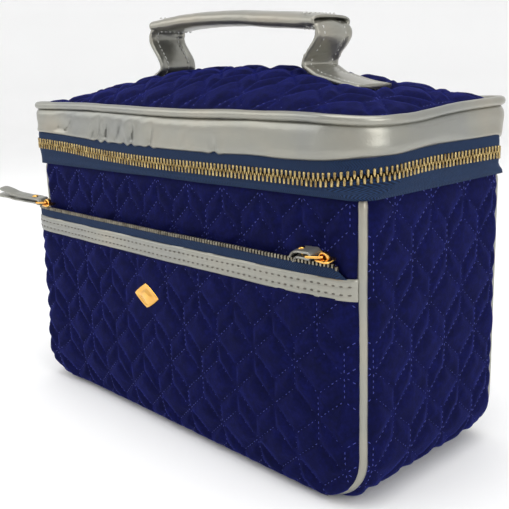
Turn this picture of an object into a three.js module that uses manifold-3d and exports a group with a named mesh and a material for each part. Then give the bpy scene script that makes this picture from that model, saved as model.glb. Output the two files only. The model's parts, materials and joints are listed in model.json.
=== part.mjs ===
// Quilted vanity case: a hard-sided quilted box with a lid that opens on a zip round three sides, a
// carrying handle on the lid and a zipped pocket on the front.
// Millimetres, +Z up. The origin is the centre of the base, on the surface that the case stands on.
// +X runs along the front to its right-hand end, and the front faces -Y.
import * as THREE from "three";
import { mergeVertices } from "three/addons/utils/BufferGeometryUtils.js";
import Module from "manifold-3d";

const wasm = await Module();
wasm.setup();

// ---- Driving dimensions ----
const clearance = 0.3; // gap left between neighbouring pieces

// Case body
const caseWidth = 268;
const caseDepth = 112;
const bodyHeight = 146;
const wall = 5; // quilted velvet over foam and board
const baseRound = 26; // lower corners of the front and back panels
const bodyPipingRadius = 2.2;
const pipingProud = 0.6; // how far a piping's centre lies under the panels' surface
const liningThickness = 1;
const boardThickness = 2;

// Zip round the lid
const zipGap = 0.5; // how far the zip's centre line lies outside the body
const zipCornerRadius = 18;
const chainHalfHeight = 2.9; // one row of teeth, from the centre line to the tape
const chainThickness = 2.6;
const lowerTapeHeight = 4;
const upperTapeHeight = 4;
const tapeThickness = 1;
const hingeInset = 8; // how far the zip runs past each rear corner

// Lid
const lidBandHeight = 15.4;
const lidBandBulge = 3.5; // how far the band stands out from the zip's centre line
const lidBandThickness = 2.6;
const lidPipingRadius = 2.3;
const crownRise = 19; // padded top, over its own edge
const crownPower = 2.3; // how flat the middle of the padded top is

// Carrying handle
const strapWidth = 26;
const strapThickness = 2.6;
const footBend = 60; // from the middle of the lid to the bend of each strap
const footLength = 36;
const handleHeight = 228; // top of the grip above the base
const gripHalfLength = 67;
const gripThickness = 9.5;
const gripArch = 4.5; // how far the grip's ends lie below its middle
const legBow = 9; // how far each leg bows out on its way up

// Front pocket
const pocketHalfWidth = 123;
const pocketBottom = 9;
const pocketTop = 100;
const pocketBulge = 4.6; // depth of the pocket at its middle
const pocketThickness = 2.4;
const trimHeight = 9.6;
const trimThickness = 3;
const pocketTapeHeight = 4;
const pocketRowHeight = 1.8;
const pocketRowThickness = 2;
const pocketTapeLean = 1.5; // how far the open zip's outer tape leans out over the trim
const pocketRowLean = 2.5;
const innerTapeHeight = 8;
const emblemWidth = 20;
const emblemHeight = 13;
const emblemX = -13;
const emblemZ = 78;

// Zip sliders and their leather pulls
const sliderLength = 9;
const sliderWidth = 7.2;
const sliderPlate = 1;
const pullBarRadius = 0.6;
const linkLength = 7;
const linkHalfWidth = 5.6; // of the link's outer end
const pullLength = 38;
const pullWidth = 7.6;
const leafThickness = 1.2;
const leafGap = 1.4;
const rivetRadius = 1.8;
const pocketSliderTilt = 8; // degrees that the pocket's sliders lean forwards
const pocketSliderLeftX = -117;
const pocketSliderRightX = 118;

// ---- Heights and offsets that follow from them ----
const halfWidth = caseWidth / 2;
const halfDepth = caseDepth / 2;
const zipX = halfWidth + zipGap;
const zipY = halfDepth + zipGap;
const lowerTapeLow = bodyHeight + clearance;
const lowerTapeTop = lowerTapeLow + lowerTapeHeight;
const lowerRowLow = lowerTapeTop + clearance;
const zipHeight = lowerRowLow + chainHalfHeight; // the zip's centre line, and the lid's hinge line
const upperRowLow = zipHeight + clearance / 2;
const upperRowTop = zipHeight + chainHalfHeight;
const upperTapeLow = upperRowTop + clearance;
const upperTapeTop = upperTapeLow + upperTapeHeight;
const bandLow = upperTapeTop + clearance;
const bandTop = bandLow + lidBandHeight;
const bandInside = 1.2; // from the zip's centre line to the band's inner face
const lidPipingHeight = bandTop + clearance + lidPipingRadius;
const lidPipingOffset = bandInside;
const crownInset = lidPipingRadius - lidPipingOffset + clearance;
const crownEdge = lidPipingHeight;
const seamTighter = 6; // how much tighter the panels curve at the seams than the zip at its corners
const seamRound = zipCornerRadius - seamTighter;
const seamDepth = seamRound * (1 - Math.SQRT1_2);
const pipingInset = seamDepth + pipingProud * Math.SQRT1_2;
const panelFront = -halfDepth; // outer face of the front panel
const trimLow = pocketTop + clearance;
const trimTop = trimLow + trimHeight;
const pocketTapeLow = trimTop + clearance;
const pocketRowLow = pocketTapeLow + pocketTapeHeight + clearance;
const pocketRowTop = pocketRowLow + pocketRowHeight;

const colours = {
  velvet: ["#1b1a55", 0.9, 0],
  lining: ["#23233a", 0.8, 0],
  board: ["#3a3a3c", 0.8, 0],
  silver: ["#bcbab0", 0.38, 0.7],
  tape: ["#2b4164", 0.8, 0],
  brass: ["#c9a03e", 0.3, 1],
  gold: ["#d8a244", 0.22, 1],
};

const vec = (x, y, z) => new THREE.Vector3(x, y, z);
const sum = (...vectors) => vectors.reduce((total, v) => total.add(v), vec(0, 0, 0));
const times = (v, k) => v.clone().multiplyScalar(k);

// ---- Geometry helpers ----

// Six times the volume that a triangle list encloses, negative where its faces point inwards.
function signedVolume(positions, index) {
  let volume = 0;
  const corner = (i) => vec().fromArray(positions, 3 * index[i]);
  for (let i = 0; i < index.length; i += 3) {
    volume += corner(i).dot(corner(i + 1).cross(corner(i + 2)));
  }
  return volume;
}

function closedGeometry(points, index) {
  const positions = points.flatMap((p) => [p.x, p.y, p.z]);
  if (signedVolume(positions, index) < 0) index.reverse();
  const geometry = new THREE.BufferGeometry();
  geometry.setAttribute("position", new THREE.Float32BufferAttribute(positions, 3));
  geometry.setIndex(index);
  return geometry;
}

// Joins rings of equally many points into one closed skin. The end rings are closed with faces made
// from the flat outline, unless the last ring joins the first.
function loft(rings, outline, joined = false) {
  const count = rings[0].length;
  const index = [];
  const last = joined ? rings.length : rings.length - 1;
  for (let r = 0; r < last; r++) {
    const here = r * count;
    const next = ((r + 1) % rings.length) * count;
    for (let i = 0; i < count; i++) {
      const j = (i + 1) % count;
      index.push(here + i, here + j, next + j, here + i, next + j, next + i);
    }
  }
  if (!joined) {
    const end = (rings.length - 1) * count;
    const clockwise = THREE.ShapeUtils.isClockWise(outline);
    const order = [...outline.keys()];
    if (clockwise) order.reverse();
    const flat = order.map((i) => outline[i]);
    for (const face of THREE.ShapeUtils.triangulateShape(flat, [])) {
      let [a, b, c] = face.map((k) => order[k]);
      if (clockwise) [b, c] = [c, b];
      index.push(c, b, a, end + a, end + b, end + c);
    }
  }
  return closedGeometry(rings.flat(), index);
}

// Sweeps a flat profile of [u, v] pairs through stations that each give an origin and two directions.
function sweep(stations, profile, joined = false) {
  const rings = stations.map(({ at, u, v }) =>
    profile.map(([a, b]) => sum(at, times(u, a), times(v, b))),
  );
  return loft(rings, profile.map(([a, b]) => new THREE.Vector2(a, b)), joined);
}

// A solid between two height functions over a grid. place(i, j, height) puts a grid point in space.
function sheet(columns, rows, low, high, place) {
  const points = [];
  for (const height of [low, high]) {
    for (const a of columns) for (const b of rows) points.push(place(a, b, height(a, b)));
  }
  const across = rows.length;
  const layer = columns.length * across;
  const index = [];
  const quad = (a, b, c, d) => index.push(a, b, c, a, c, d);
  for (let i = 0; i < columns.length - 1; i++) {
    for (let j = 0; j < across - 1; j++) {
      const k = i * across + j;
      quad(k, k + 1, k + across + 1, k + across);
      quad(layer + k, layer + k + across, layer + k + across + 1, layer + k + 1);
    }
  }
  const rim = [];
  for (let i = 0; i < columns.length - 1; i++) rim.push(i * across);
  for (let j = 0; j < across - 1; j++) rim.push((columns.length - 1) * across + j);
  for (let i = columns.length - 1; i > 0; i--) rim.push(i * across + across - 1);
  for (let j = across - 1; j > 0; j--) rim.push(j);
  rim.forEach((a, i) => {
    const b = rim[(i + 1) % rim.length];
    quad(a, b, layer + b, layer + a);
  });
  return closedGeometry(points, index);
}

const steps = (from, to, count) =>
  Array.from({ length: count + 1 }, (_, i) => from + ((to - from) * i) / count);

function solid(geometry) {
  const bare = geometry.index ? geometry.toNonIndexed() : geometry.clone();
  bare.deleteAttribute("normal");
  bare.deleteAttribute("uv");
  const merged = mergeVertices(bare, 1e-4);
  return new wasm.Manifold(
    new wasm.Mesh({
      numProp: 3,
      vertProperties: merged.attributes.position.array,
      triVerts: new Uint32Array(merged.index.array),
    }),
  );
}

function geometryOf(manifold) {
  const { vertProperties, triVerts } = manifold.getMesh();
  const geometry = new THREE.BufferGeometry();
  geometry.setAttribute("position", new THREE.BufferAttribute(vertProperties, 3));
  geometry.setIndex(new THREE.BufferAttribute(triVerts, 1));
  return geometry;
}

const cut = (from, ...tools) =>
  geometryOf(tools.reduce((left, tool) => left.subtract(solid(tool)), solid(from)));
const common = (one, other) => geometryOf(solid(one).intersect(solid(other)));
const join = (...pieces) =>
  geometryOf(pieces.reduce((whole, piece) => whole.add(solid(piece)), solid(pieces.shift())));

// A box between two corners.
function block(low, high) {
  const size = high.map((h, i) => h - low[i]);
  const middle = high.map((h, i) => (h + low[i]) / 2);
  return new THREE.BoxGeometry(...size).translate(...middle);
}

function mesh(name, geometry, [color, roughness, metalness]) {
  const material = new THREE.MeshStandardMaterial({ color, roughness, metalness });
  const made = new THREE.Mesh(geometry, material);
  made.name = name;
  return made;
}

// ---- Paths ----

// Stations round a rounded rectangle in plan, anticlockwise from the middle of the back. u points
// outwards and v up.
function planLoop(halfX, halfY, radius, cornerSteps = 7) {
  const corners = [
    [-1, 1, 90],
    [-1, -1, 180],
    [1, -1, 270],
    [1, 1, 0],
  ];
  return corners.flatMap(([sx, sy, start]) =>
    steps(start, start + 90, cornerSteps).map((degrees) => {
      const angle = THREE.MathUtils.degToRad(degrees);
      const u = vec(Math.cos(angle), Math.sin(angle), 0);
      const centre = vec(sx * (halfX - radius), sy * (halfY - radius), 0);
      return { at: sum(centre, times(u, radius)), u, v: vec(0, 0, 1) };
    }),
  );
}

// The zip's route: from the back, round the left side, the front and the right side, to the back.
function zipRoute() {
  const loop = planLoop(zipX, zipY, zipCornerRadius);
  const end = (side) => ({
    at: vec(side * (zipX - zipCornerRadius - hingeInset), zipY, 0),
    u: vec(0, 1, 0),
    v: vec(0, 0, 1),
  });
  return [end(-1), ...loop, end(1)];
}

// An upright ring of the given plan, as a solid with flat ends.
function plate(halfX, halfY, radius, low, high) {
  const outline = planLoop(halfX, halfY, radius).map(({ at }) => at);
  const rings = [low, high].map((z) => outline.map((p) => vec(p.x, p.y, z)));
  return loft(rings, outline.map((p) => new THREE.Vector2(p.x, p.y)));
}

// The front panel's outline moved inwards, as points from the top left down round the base.
function panelOutline(inset, base = inset) {
  const radius = Math.max(baseRound - inset, 1);
  const arc = (side, from, to) =>
    steps(from, to, 6).map((degrees) => {
      const angle = THREE.MathUtils.degToRad(degrees);
      const x = side * (halfWidth - inset - radius) + radius * Math.cos(angle);
      return { x, z: base + radius + radius * Math.sin(angle), out: angle };
    });
  return [...arc(-1, 180, 270), ...arc(1, 270, 360)];
}

// A box with open-topped U sections at the given [y, inset] pairs.
function troughLoft(sections, top, base) {
  const rings = sections.map(([y, inset]) => {
    const lower = panelOutline(inset, base ?? inset).map(({ x, z }) => vec(x, y, z));
    const side = halfWidth - inset;
    return [vec(-side, y, top), ...lower, vec(side, y, top)];
  });
  return loft(rings, rings[0].map((p) => new THREE.Vector2(p.x, p.z)));
}

// ---- Case body ----

// [y, inset] pairs of the body's outer skin, curving in towards its front and back faces.
function bodySections() {
  const curve = steps(0, 90, 5).map((degrees) => {
    const angle = THREE.MathUtils.degToRad(degrees);
    return [seamRound * (1 - Math.sin(angle)), seamRound * (1 - Math.cos(angle))];
  });
  const front = curve.map(([depth, inset]) => [-halfDepth + depth, inset]).reverse();
  const back = curve.map(([depth, inset]) => [halfDepth - depth, inset]);
  return [...front, ...back];
}

function pipingTube(side, radius) {
  const y = side * (halfDepth - pipingInset);
  const round = steps(0, 360, 10).slice(0, -1).map((degrees) => {
    const angle = THREE.MathUtils.degToRad(degrees);
    return [radius * Math.cos(angle), radius * Math.sin(angle)];
  });
  const stations = panelOutline(pipingInset).map(({ x, z, out }) => ({
    at: vec(x, y, z),
    u: vec(Math.cos(out), 0, Math.sin(out)),
    v: vec(0, side, 0),
  }));
  const topOf = (station) => ({ ...station, at: vec(station.at.x, y, bodyHeight) });
  return sweep([topOf(stations[0]), ...stations, topOf(stations.at(-1))], round);
}

function bodyShell() {
  const outer = troughLoft(bodySections(), bodyHeight);
  const reach = halfDepth + caseDepth;
  const groove = (side) => pipingTube(side, bodyPipingRadius + clearance);
  const slab = (from, to) => block([-caseWidth, from, -caseDepth], [caseWidth, to, 2 * bodyHeight]);
  const joint = halfDepth - wall;
  const hollow = troughLoft([[-reach, wall], [reach, wall]], 2 * bodyHeight);
  const within = troughLoft([[-reach, pipingInset], [reach, pipingInset]], 2 * bodyHeight);
  const panels = common(outer, within);
  const front = cut(panels, slab(-joint, reach), groove(-1));
  const back = cut(panels, slab(-reach, joint), groove(1));
  const band = cut(
    outer,
    slab(-reach, -joint + clearance),
    slab(joint - clearance, reach),
    hollow,
    groove(-1),
    groove(1),
  );
  return [
    mesh("front_panel", front, colours.velvet),
    mesh("back_panel", back, colours.velvet),
    mesh("gusset", band, colours.velvet),
    mesh("front_piping", pipingTube(-1, bodyPipingRadius), colours.silver),
    mesh("back_piping", pipingTube(1, bodyPipingRadius), colours.silver),
  ];
}

function bodyInside() {
  const boardLow = wall + clearance;
  const boardTop = boardLow + boardThickness;
  const floor = boardTop + clearance;
  // The lining stands off the walls, and off the piping where that reaches further in.
  const pipingReach = pipingInset + (bodyPipingRadius + clearance / 2) * Math.SQRT1_2;
  const inset = Math.max(wall + 2 * clearance, pipingReach);
  const outerY = halfDepth - inset;
  const innerY = outerY - liningThickness;
  const outer = troughLoft([[-outerY, inset], [outerY, inset]], bodyHeight - clearance, floor);
  const innerInset = inset + liningThickness;
  const inner = troughLoft(
    [[-innerY, innerInset], [innerY, innerInset]],
    2 * bodyHeight,
    floor + liningThickness,
  );
  const boardX = halfWidth - baseRound - clearance;
  const board = block([-boardX, -innerY, boardLow], [boardX, innerY, boardTop]);
  return [
    mesh("body_lining", cut(outer, inner), colours.lining),
    mesh("base_board", board, colours.board),
  ];
}

// ---- Zip round the lid ----

const upright = (low, high, thickness) => [
  [-thickness / 2, low],
  [thickness / 2, low],
  [thickness / 2, high],
  [-thickness / 2, high],
];

function lowerZip() {
  const tape = upright(lowerTapeLow, lowerTapeTop, tapeThickness);
  const row = upright(lowerRowLow, zipHeight - clearance / 2, chainThickness);
  return [
    mesh("zip_lower_tape", sweep(zipRoute(), tape), colours.tape),
    mesh("zip_lower_teeth", sweep(zipRoute(), row), colours.brass),
  ];
}

function upperZip() {
  const tape = upright(upperTapeLow, upperTapeTop, tapeThickness);
  const row = upright(upperRowLow, upperRowTop, chainThickness);
  return [
    mesh("zip_upper_tape", sweep(zipRoute(), tape), colours.tape),
    mesh("zip_upper_teeth", sweep(zipRoute(), row), colours.brass),
  ];
}

// The strip along the back that joins the lid to the body between the zip's two ends. It bends along
// the zip's centre line, so it is made as two halves that meet there.
function hingeStrip(name, low, high) {
  const reach = zipX - zipCornerRadius - hingeInset - clearance;
  const thickness = tapeThickness / 2;
  const strip = block([-reach, zipY - thickness, low], [reach, zipY + thickness, high]);
  return mesh(name, strip, colours.tape);
}

// ---- Lid ----

function lidShell() {
  const profile = [
    [-bandInside, bandLow],
    [bandInside, bandLow],
    [lidBandBulge * 0.85, bandLow + lidBandHeight * 0.2],
    [lidBandBulge, bandLow + lidBandHeight * 0.5],
    [lidBandBulge * 0.9, bandLow + lidBandHeight * 0.8],
    [lidBandThickness - bandInside / 2, bandTop],
    [-bandInside, bandTop],
  ];
  const loop = planLoop(zipX, zipY, zipCornerRadius, 9);
  const cord = steps(0, 360, 10).slice(0, -1).map((degrees) => {
    const angle = THREE.MathUtils.degToRad(degrees);
    const u = lidPipingOffset + lidPipingRadius * Math.cos(angle);
    return [u, lidPipingHeight + lidPipingRadius * Math.sin(angle)];
  });
  return [
    mesh("lid_band", sweep(loop, profile, true), colours.silver),
    mesh("lid_piping", sweep(loop, cord, true), colours.silver),
    mesh("lid_panel", crownPad(), colours.velvet),
  ];
}

const crownX = zipX - crownInset;
const crownY = zipY - crownInset;
const crownRadius = zipCornerRadius - crownInset;

// Height of the padded top over a point of the lid.
function crownAt(x, y) {
  const along = 1 - Math.min(Math.abs(x) / crownX, 1) ** crownPower;
  const over = 1 - Math.min(Math.abs(y) / crownY, 1) ** crownPower;
  return crownEdge + crownRise * Math.min(along * over, 1);
}

function crownPad() {
  const rim = planLoop(crownX, crownY, crownRadius, 6).map(({ at }) => at);
  const outline = [];
  rim.forEach((point, i) => {
    const next = rim[(i + 1) % rim.length];
    const gap = point.distanceTo(next);
    const pieces = Math.max(1, Math.round(gap / (caseDepth / 5)));
    for (let k = 0; k < pieces; k++) outline.push(point.clone().lerp(next, k / pieces));
  });
  const shares = [1, 0.93, 0.84, 0.72, 0.56, 0.36, 0.14];
  const low = bandTop + clearance;
  const rings = [outline.map((p) => vec(p.x, p.y, low))];
  for (const share of shares) {
    rings.push(outline.map((p) => vec(p.x * share, p.y * share, crownAt(p.x * share, p.y * share))));
  }
  return loft(rings, outline.map((p) => new THREE.Vector2(p.x, p.y)));
}

function lidInside() {
  const inset = bandInside + clearance;
  const boardTop = bandTop;
  const boardLow = boardTop - boardThickness;
  const trayTop = boardLow - clearance;
  const plan = (more) => [zipX - inset - more, zipY - inset - more, zipCornerRadius - inset - more];
  const tray = plate(...plan(0), upperTapeTop, trayTop);
  const hollow = plate(...plan(liningThickness), zipHeight, trayTop - liningThickness);
  return [
    mesh("lid_board", plate(...plan(0), boardLow, boardTop), colours.board),
    mesh("lid_lining", cut(tray, hollow), colours.lining),
  ];
}

// ---- Carrying handle ----

// The end of a strap, sewn flat on the padded top.
function handleFoot(name, side) {
  const xs = steps(footBend, footBend + footLength, 6).map((x) => side * x);
  const ys = steps(-strapWidth / 2, strapWidth / 2, 4);
  const low = (x, y) => crownAt(x, y) + footGap;
  const high = (x, y) => low(x, y) + strapThickness;
  return mesh(name, sheet(xs, ys, low, high, (x, y, z) => vec(x, y, z)), colours.silver);
}

const gripEndX = gripHalfLength - strapThickness;
const footGap = 2 * clearance;
const legLow = crownAt(footBend, 0) + footGap + strapThickness + clearance;
const gripMiddle = handleHeight - gripThickness / 2;
const legTop = gripMiddle - gripArch - gripThickness / 2 - clearance;

// The strap between its foot and the grip: it bows outwards on its way up.
function handleLeg(name, side) {
  const half = strapThickness / 2;
  const foot = footBend + half;
  const rings = steps(0, 1, 8).map((t) => {
    const x = foot + (gripEndX - strapThickness - foot) * t + legBow * Math.sin(Math.PI * t) ** 2;
    const z = legLow + (legTop - legLow) * t;
    return [
      vec(side * (x - half), -strapWidth / 2, z),
      vec(side * (x + half), -strapWidth / 2, z),
      vec(side * (x + half), strapWidth / 2, z),
      vec(side * (x - half), strapWidth / 2, z),
    ];
  });
  const flat = rings[0].map((p) => new THREE.Vector2(p.x, p.y));
  return mesh(name, loft(rings, flat), colours.silver);
}

function handleGrip() {
  const halfThick = gripThickness / 2;
  const halfWide = strapWidth / 2 + 0.5;
  const section = steps(0, 360, 14).slice(0, -1).map((degrees) => {
    const angle = THREE.MathUtils.degToRad(degrees);
    const squared = (value) => Math.sign(value) * Math.abs(value) ** 0.6;
    return [halfWide * squared(Math.cos(angle)), halfThick * squared(Math.sin(angle))];
  });
  const stations = steps(-1, 1, 12).map((t) => ({
    at: vec(gripHalfLength * t, 0, gripMiddle - gripArch * t * t),
    u: vec(0, 1, 0),
    v: vec(0, 0, 1),
  }));
  return mesh("handle_grip", sweep(stations, section), colours.silver);
}

// ---- Front pocket ----

// How far the pocket's back face stands off the front panel.
function pocketDepth(x, z) {
  const across = 1 - Math.min(Math.abs(x) / pocketHalfWidth, 1) ** 6;
  const rise = THREE.MathUtils.smoothstep(z, pocketBottom, pocketTop / 3);
  return clearance + pocketBulge * across * rise;
}

// One layer of the pocket between two heights, set forward by the given lean.
function pocketLayer(name, low, high, thickness, rows, colour, lean = 0) {
  const xs = steps(-1, 1, 16).map((t) => pocketHalfWidth * Math.sin((Math.PI / 2) * t));
  const inner = (x, z) => pocketDepth(x, z) + lean;
  const outer = (x, z) => inner(x, z) + thickness;
  const place = (x, z, depth) => vec(x, panelFront - depth, z);
  return mesh(name, sheet(xs, steps(low, high, rows), inner, outer, place), colour);
}

function frontPocket() {
  const tapeTop = pocketTapeLow + pocketTapeHeight;
  const innerTapeTop = trimTop - clearance;
  const reach = pocketHalfWidth - wall;
  const lay = (low, high, thickness) =>
    block(
      [-reach, panelFront - clearance - thickness, low],
      [reach, panelFront - clearance, high],
    );
  const innerTape = lay(innerTapeTop - innerTapeHeight, innerTapeTop, tapeThickness / 2);
  const innerRow = lay(innerTapeTop + clearance, innerTapeTop + clearance + pocketRowHeight, 1);
  const layer = (name, from, to, thickness, colour, lean) =>
    pocketLayer(name, from, to, thickness, 1, colour, lean);
  const panel = pocketLayer("pocket_panel", pocketBottom, pocketTop, pocketThickness, 7, colours.velvet);
  const inset = halfWidth - pocketHalfWidth;
  const within = troughLoft([[-caseDepth, inset], [caseDepth, inset]], bodyHeight, pocketBottom);
  panel.geometry = common(panel.geometry, within);
  return [
    panel,
    layer("pocket_trim", trimLow, trimTop, trimThickness, colours.silver),
    layer("pocket_zip_tape", pocketTapeLow, tapeTop, tapeThickness, colours.tape, pocketTapeLean),
    layer("pocket_zip_teeth", pocketRowLow, pocketRowTop, pocketRowThickness, colours.brass, pocketRowLean),
    mesh("pocket_zip_back_tape", innerTape, colours.tape),
    mesh("pocket_zip_back_teeth", innerRow, colours.brass),
  ];
}

// A bevelled lozenge on the pocket.
function emblem() {
  const back = panelFront - clearance - pocketBulge - pocketThickness - clearance;
  const bevel = tapeThickness / 2;
  const ring = (y, inset) => {
    const reachX = emblemWidth / 2 - inset;
    const reachZ = emblemHeight / 2 - inset;
    return [
      vec(emblemX - reachX, y, emblemZ),
      vec(emblemX, y, emblemZ - reachZ),
      vec(emblemX + reachX, y, emblemZ),
      vec(emblemX, y, emblemZ + reachZ),
    ];
  };
  const rings = [ring(back, 0), ring(back - bevel, 0), ring(back - 2 * bevel, 2 * bevel)];
  return mesh("emblem", loft(rings, rings[0].map((p) => new THREE.Vector2(p.x, p.z))), colours.gold);
}

// ---- Sliders and pulls ----
// A slider's own frame: x is the way its pull points, y runs along the pull's bar, and z points away
// from the zip. Its origin is on the outer face of the slider's plate, and the bar lies barHeight over it.
const barHeight = 1.1;
const barRoom = clearance + pullBarRadius;
const archWide = 2.4; // along the bar
const archWall = 0.9;

function sliderGeometry(alongBar) {
  const halfX = (alongBar ? sliderWidth : sliderLength) / 2;
  const halfY = (alongBar ? sliderLength : sliderWidth) / 2;
  const body = block([-halfX, -halfY, -sliderPlate], [halfX, halfY, 0]);
  const reach = barRoom + archWall;
  const top = barHeight + barRoom + archWall;
  const arch = block([-reach, -archWide / 2, -sliderPlate / 2], [reach, archWide / 2, top]);
  const eye = block([-barRoom, -archWide, 0], [barRoom, archWide, barHeight + barRoom]);
  return cut(join(body, arch), eye);
}

// A rod of round section between two points.
function rod(from, to, radius, sides = 8) {
  const length = from.distanceTo(to);
  const turn = new THREE.Quaternion().setFromUnitVectors(vec(0, 1, 0), to.clone().sub(from).normalize());
  const middle = from.clone().lerp(to, 0.5);
  return new THREE.CylinderGeometry(radius, radius, length, sides)
    .applyQuaternion(turn)
    .translate(middle.x, middle.y, middle.z);
}

// The metal link: a narrow bar in the slider's arch and a wide one in the leather's fold.
function linkGeometry() {
  const near = archWide / 2 + clearance + pullBarRadius;
  const z = barHeight;
  const corners = [
    vec(0, -near, z),
    vec(0, near, z),
    vec(linkLength, linkHalfWidth, z),
    vec(linkLength, -linkHalfWidth, z),
  ];
  const rods = corners.map((corner, i) => rod(corner, corners[(i + 1) % 4], pullBarRadius));
  const knuckles = corners.map((corner) =>
    new THREE.SphereGeometry(pullBarRadius * 1.08, 8, 6).translate(corner.x, corner.y, corner.z),
  );
  return join(...rods, ...knuckles);
}

// A strip of leather folded round the link's far bar, with its two leaves lying back to back.
function leatherGeometry() {
  const inner = pullBarRadius + clearance;
  const outer = inner + leafThickness;
  const fold = vec(linkLength, 0, barHeight);
  const half = (radius, from, to) =>
    steps(from, to, 6).map((degrees) => {
      const angle = THREE.MathUtils.degToRad(degrees);
      return new THREE.Vector2(fold.x + radius * Math.cos(angle), fold.z + radius * Math.sin(angle));
    });
  const end = linkLength + pullLength;
  const neck = linkLength + 2 * outer;
  const spread = leafGap / 2;
  const outline = [
    ...half(outer, 90, 270),
    new THREE.Vector2(neck, fold.z - spread - leafThickness),
    new THREE.Vector2(end, fold.z - spread - leafThickness),
    new THREE.Vector2(end, fold.z - spread),
    new THREE.Vector2(neck, fold.z - spread),
    ...half(inner, 270, 90),
    new THREE.Vector2(neck, fold.z + spread),
    new THREE.Vector2(end, fold.z + spread),
    new THREE.Vector2(end, fold.z + spread + leafThickness),
    new THREE.Vector2(neck, fold.z + spread + leafThickness),
  ];
  const rings = [-1, 1].map((s) => outline.map((p) => vec(p.x, (s * pullWidth) / 2, p.y)));
  const strip = loft(rings, outline);
  const hole = rod(vec(rivetAt, 0, -outer), vec(rivetAt, 0, outer + 2 * fold.z), rivetRadius / 2 + clearance);
  return cut(strip, hole);
}

const rivetAt = linkLength + 2 * (pullBarRadius + clearance + leafThickness) + rivetRadius;

function rivetGeometry() {
  const reach = leafGap / 2 + leafThickness + clearance;
  const head = 0.7;
  const at = (z) => vec(rivetAt, 0, barHeight + z);
  return join(
    rod(at(-reach - head / 2), at(reach + head / 2), rivetRadius / 2, 10),
    rod(at(-reach - head), at(-reach), rivetRadius, 12),
    rod(at(reach), at(reach + head), rivetRadius, 12),
  );
}

// One slider with its pull. turn carries the slider's own frame to the way it faces on the case.
function slider(name, position, turn, alongBar) {
  const holder = new THREE.Group();
  holder.position.copy(position);
  holder.quaternion.copy(turn);
  holder.add(
    mesh(name + "_slider", sliderGeometry(alongBar), colours.gold),
    mesh(name + "_link", linkGeometry(), colours.gold),
    mesh(name + "_pull", leatherGeometry(), colours.silver),
    mesh(name + "_rivet", rivetGeometry(), colours.gold),
  );
  return holder;
}

const facing = (x, y, z) =>
  new THREE.Quaternion().setFromRotationMatrix(new THREE.Matrix4().makeBasis(x, y, z));

function sliders() {
  const tilt = THREE.MathUtils.degToRad(pocketSliderTilt);
  const [lean, rise] = [Math.sin(tilt), Math.cos(tilt)];
  const hanging = facing(vec(0, 0, -1), vec(0, -1, 0), vec(-1, 0, 0));
  const leftwards = facing(vec(-1, 0, 0), vec(0, -rise, -lean), vec(0, -lean, rise));
  const linkReach = linkHalfWidth + 1.1 * pullBarRadius;
  const sideX = -(zipX + chainThickness / 2 + clearance + sliderPlate);
  const meet = Math.max(sliderLength / 2, linkReach) + clearance;
  const flatZ = pocketRowTop + sliderPlate + linkReach * lean + 3 * clearance;
  const flatY = panelFront - linkReach - clearance;
  return [
    slider("main_front", vec(sideX, -meet, zipHeight), hanging, true),
    slider("main_rear", vec(sideX, meet, zipHeight), hanging, true),
    slider("pocket_left", vec(pocketSliderLeftX, flatY, flatZ), leftwards, false),
    slider("pocket_right", vec(pocketSliderRightX, flatY, flatZ), leftwards, false),
  ];
}

const group = new THREE.Group();
group.add(
  ...bodyShell(),
  ...bodyInside(),
  ...lowerZip(),
  hingeStrip("hinge_strip_lower", lowerTapeLow, zipHeight - clearance / 2),
  ...frontPocket(),
  emblem(),
  ...lidShell(),
  ...lidInside(),
  ...upperZip(),
  hingeStrip("hinge_strip_upper", upperRowLow, upperTapeTop),
  handleFoot("handle_foot_left", -1),
  handleFoot("handle_foot_right", 1),
  handleLeg("handle_leg_left", -1),
  handleLeg("handle_leg_right", 1),
  handleGrip(),
  ...sliders(),
);

export default group;
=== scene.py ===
import json
import math

import bpy
import numpy as np
from mathutils import Matrix, Vector


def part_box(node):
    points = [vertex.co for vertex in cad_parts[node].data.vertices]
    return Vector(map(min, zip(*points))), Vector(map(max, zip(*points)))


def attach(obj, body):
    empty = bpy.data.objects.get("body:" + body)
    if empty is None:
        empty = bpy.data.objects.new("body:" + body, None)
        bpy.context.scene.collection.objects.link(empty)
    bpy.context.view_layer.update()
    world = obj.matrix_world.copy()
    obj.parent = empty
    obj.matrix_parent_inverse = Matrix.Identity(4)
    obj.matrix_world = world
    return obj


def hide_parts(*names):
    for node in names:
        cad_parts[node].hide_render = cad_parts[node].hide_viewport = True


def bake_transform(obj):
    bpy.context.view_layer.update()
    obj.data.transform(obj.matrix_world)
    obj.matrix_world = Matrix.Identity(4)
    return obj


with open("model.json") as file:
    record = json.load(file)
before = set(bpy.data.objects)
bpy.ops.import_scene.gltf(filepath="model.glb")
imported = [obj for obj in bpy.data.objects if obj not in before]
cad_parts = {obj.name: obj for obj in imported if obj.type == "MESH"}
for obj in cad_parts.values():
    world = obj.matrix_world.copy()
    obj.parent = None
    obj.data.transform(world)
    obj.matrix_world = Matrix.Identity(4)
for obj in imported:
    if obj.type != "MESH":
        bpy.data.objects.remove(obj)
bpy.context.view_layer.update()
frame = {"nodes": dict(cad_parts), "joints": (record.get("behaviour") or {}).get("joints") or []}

# Every length below is in millimetres. Points become metres where a mesh is made.
MM = 0.001


def span(node):
    """Lowest and highest corner of a CAD node."""
    low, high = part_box(node)
    return np.array(low) / MM, np.array(high) / MM


def heights(node):
    """Lowest and highest z of a CAD node."""
    low, high = span(node)
    return low[2], high[2]


def joint_place(name):
    """A point on a joint's axis."""
    joint = next(j for j in frame["joints"] if j["name"] == name)
    return np.array(joint["pos_m"]) / MM


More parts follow.
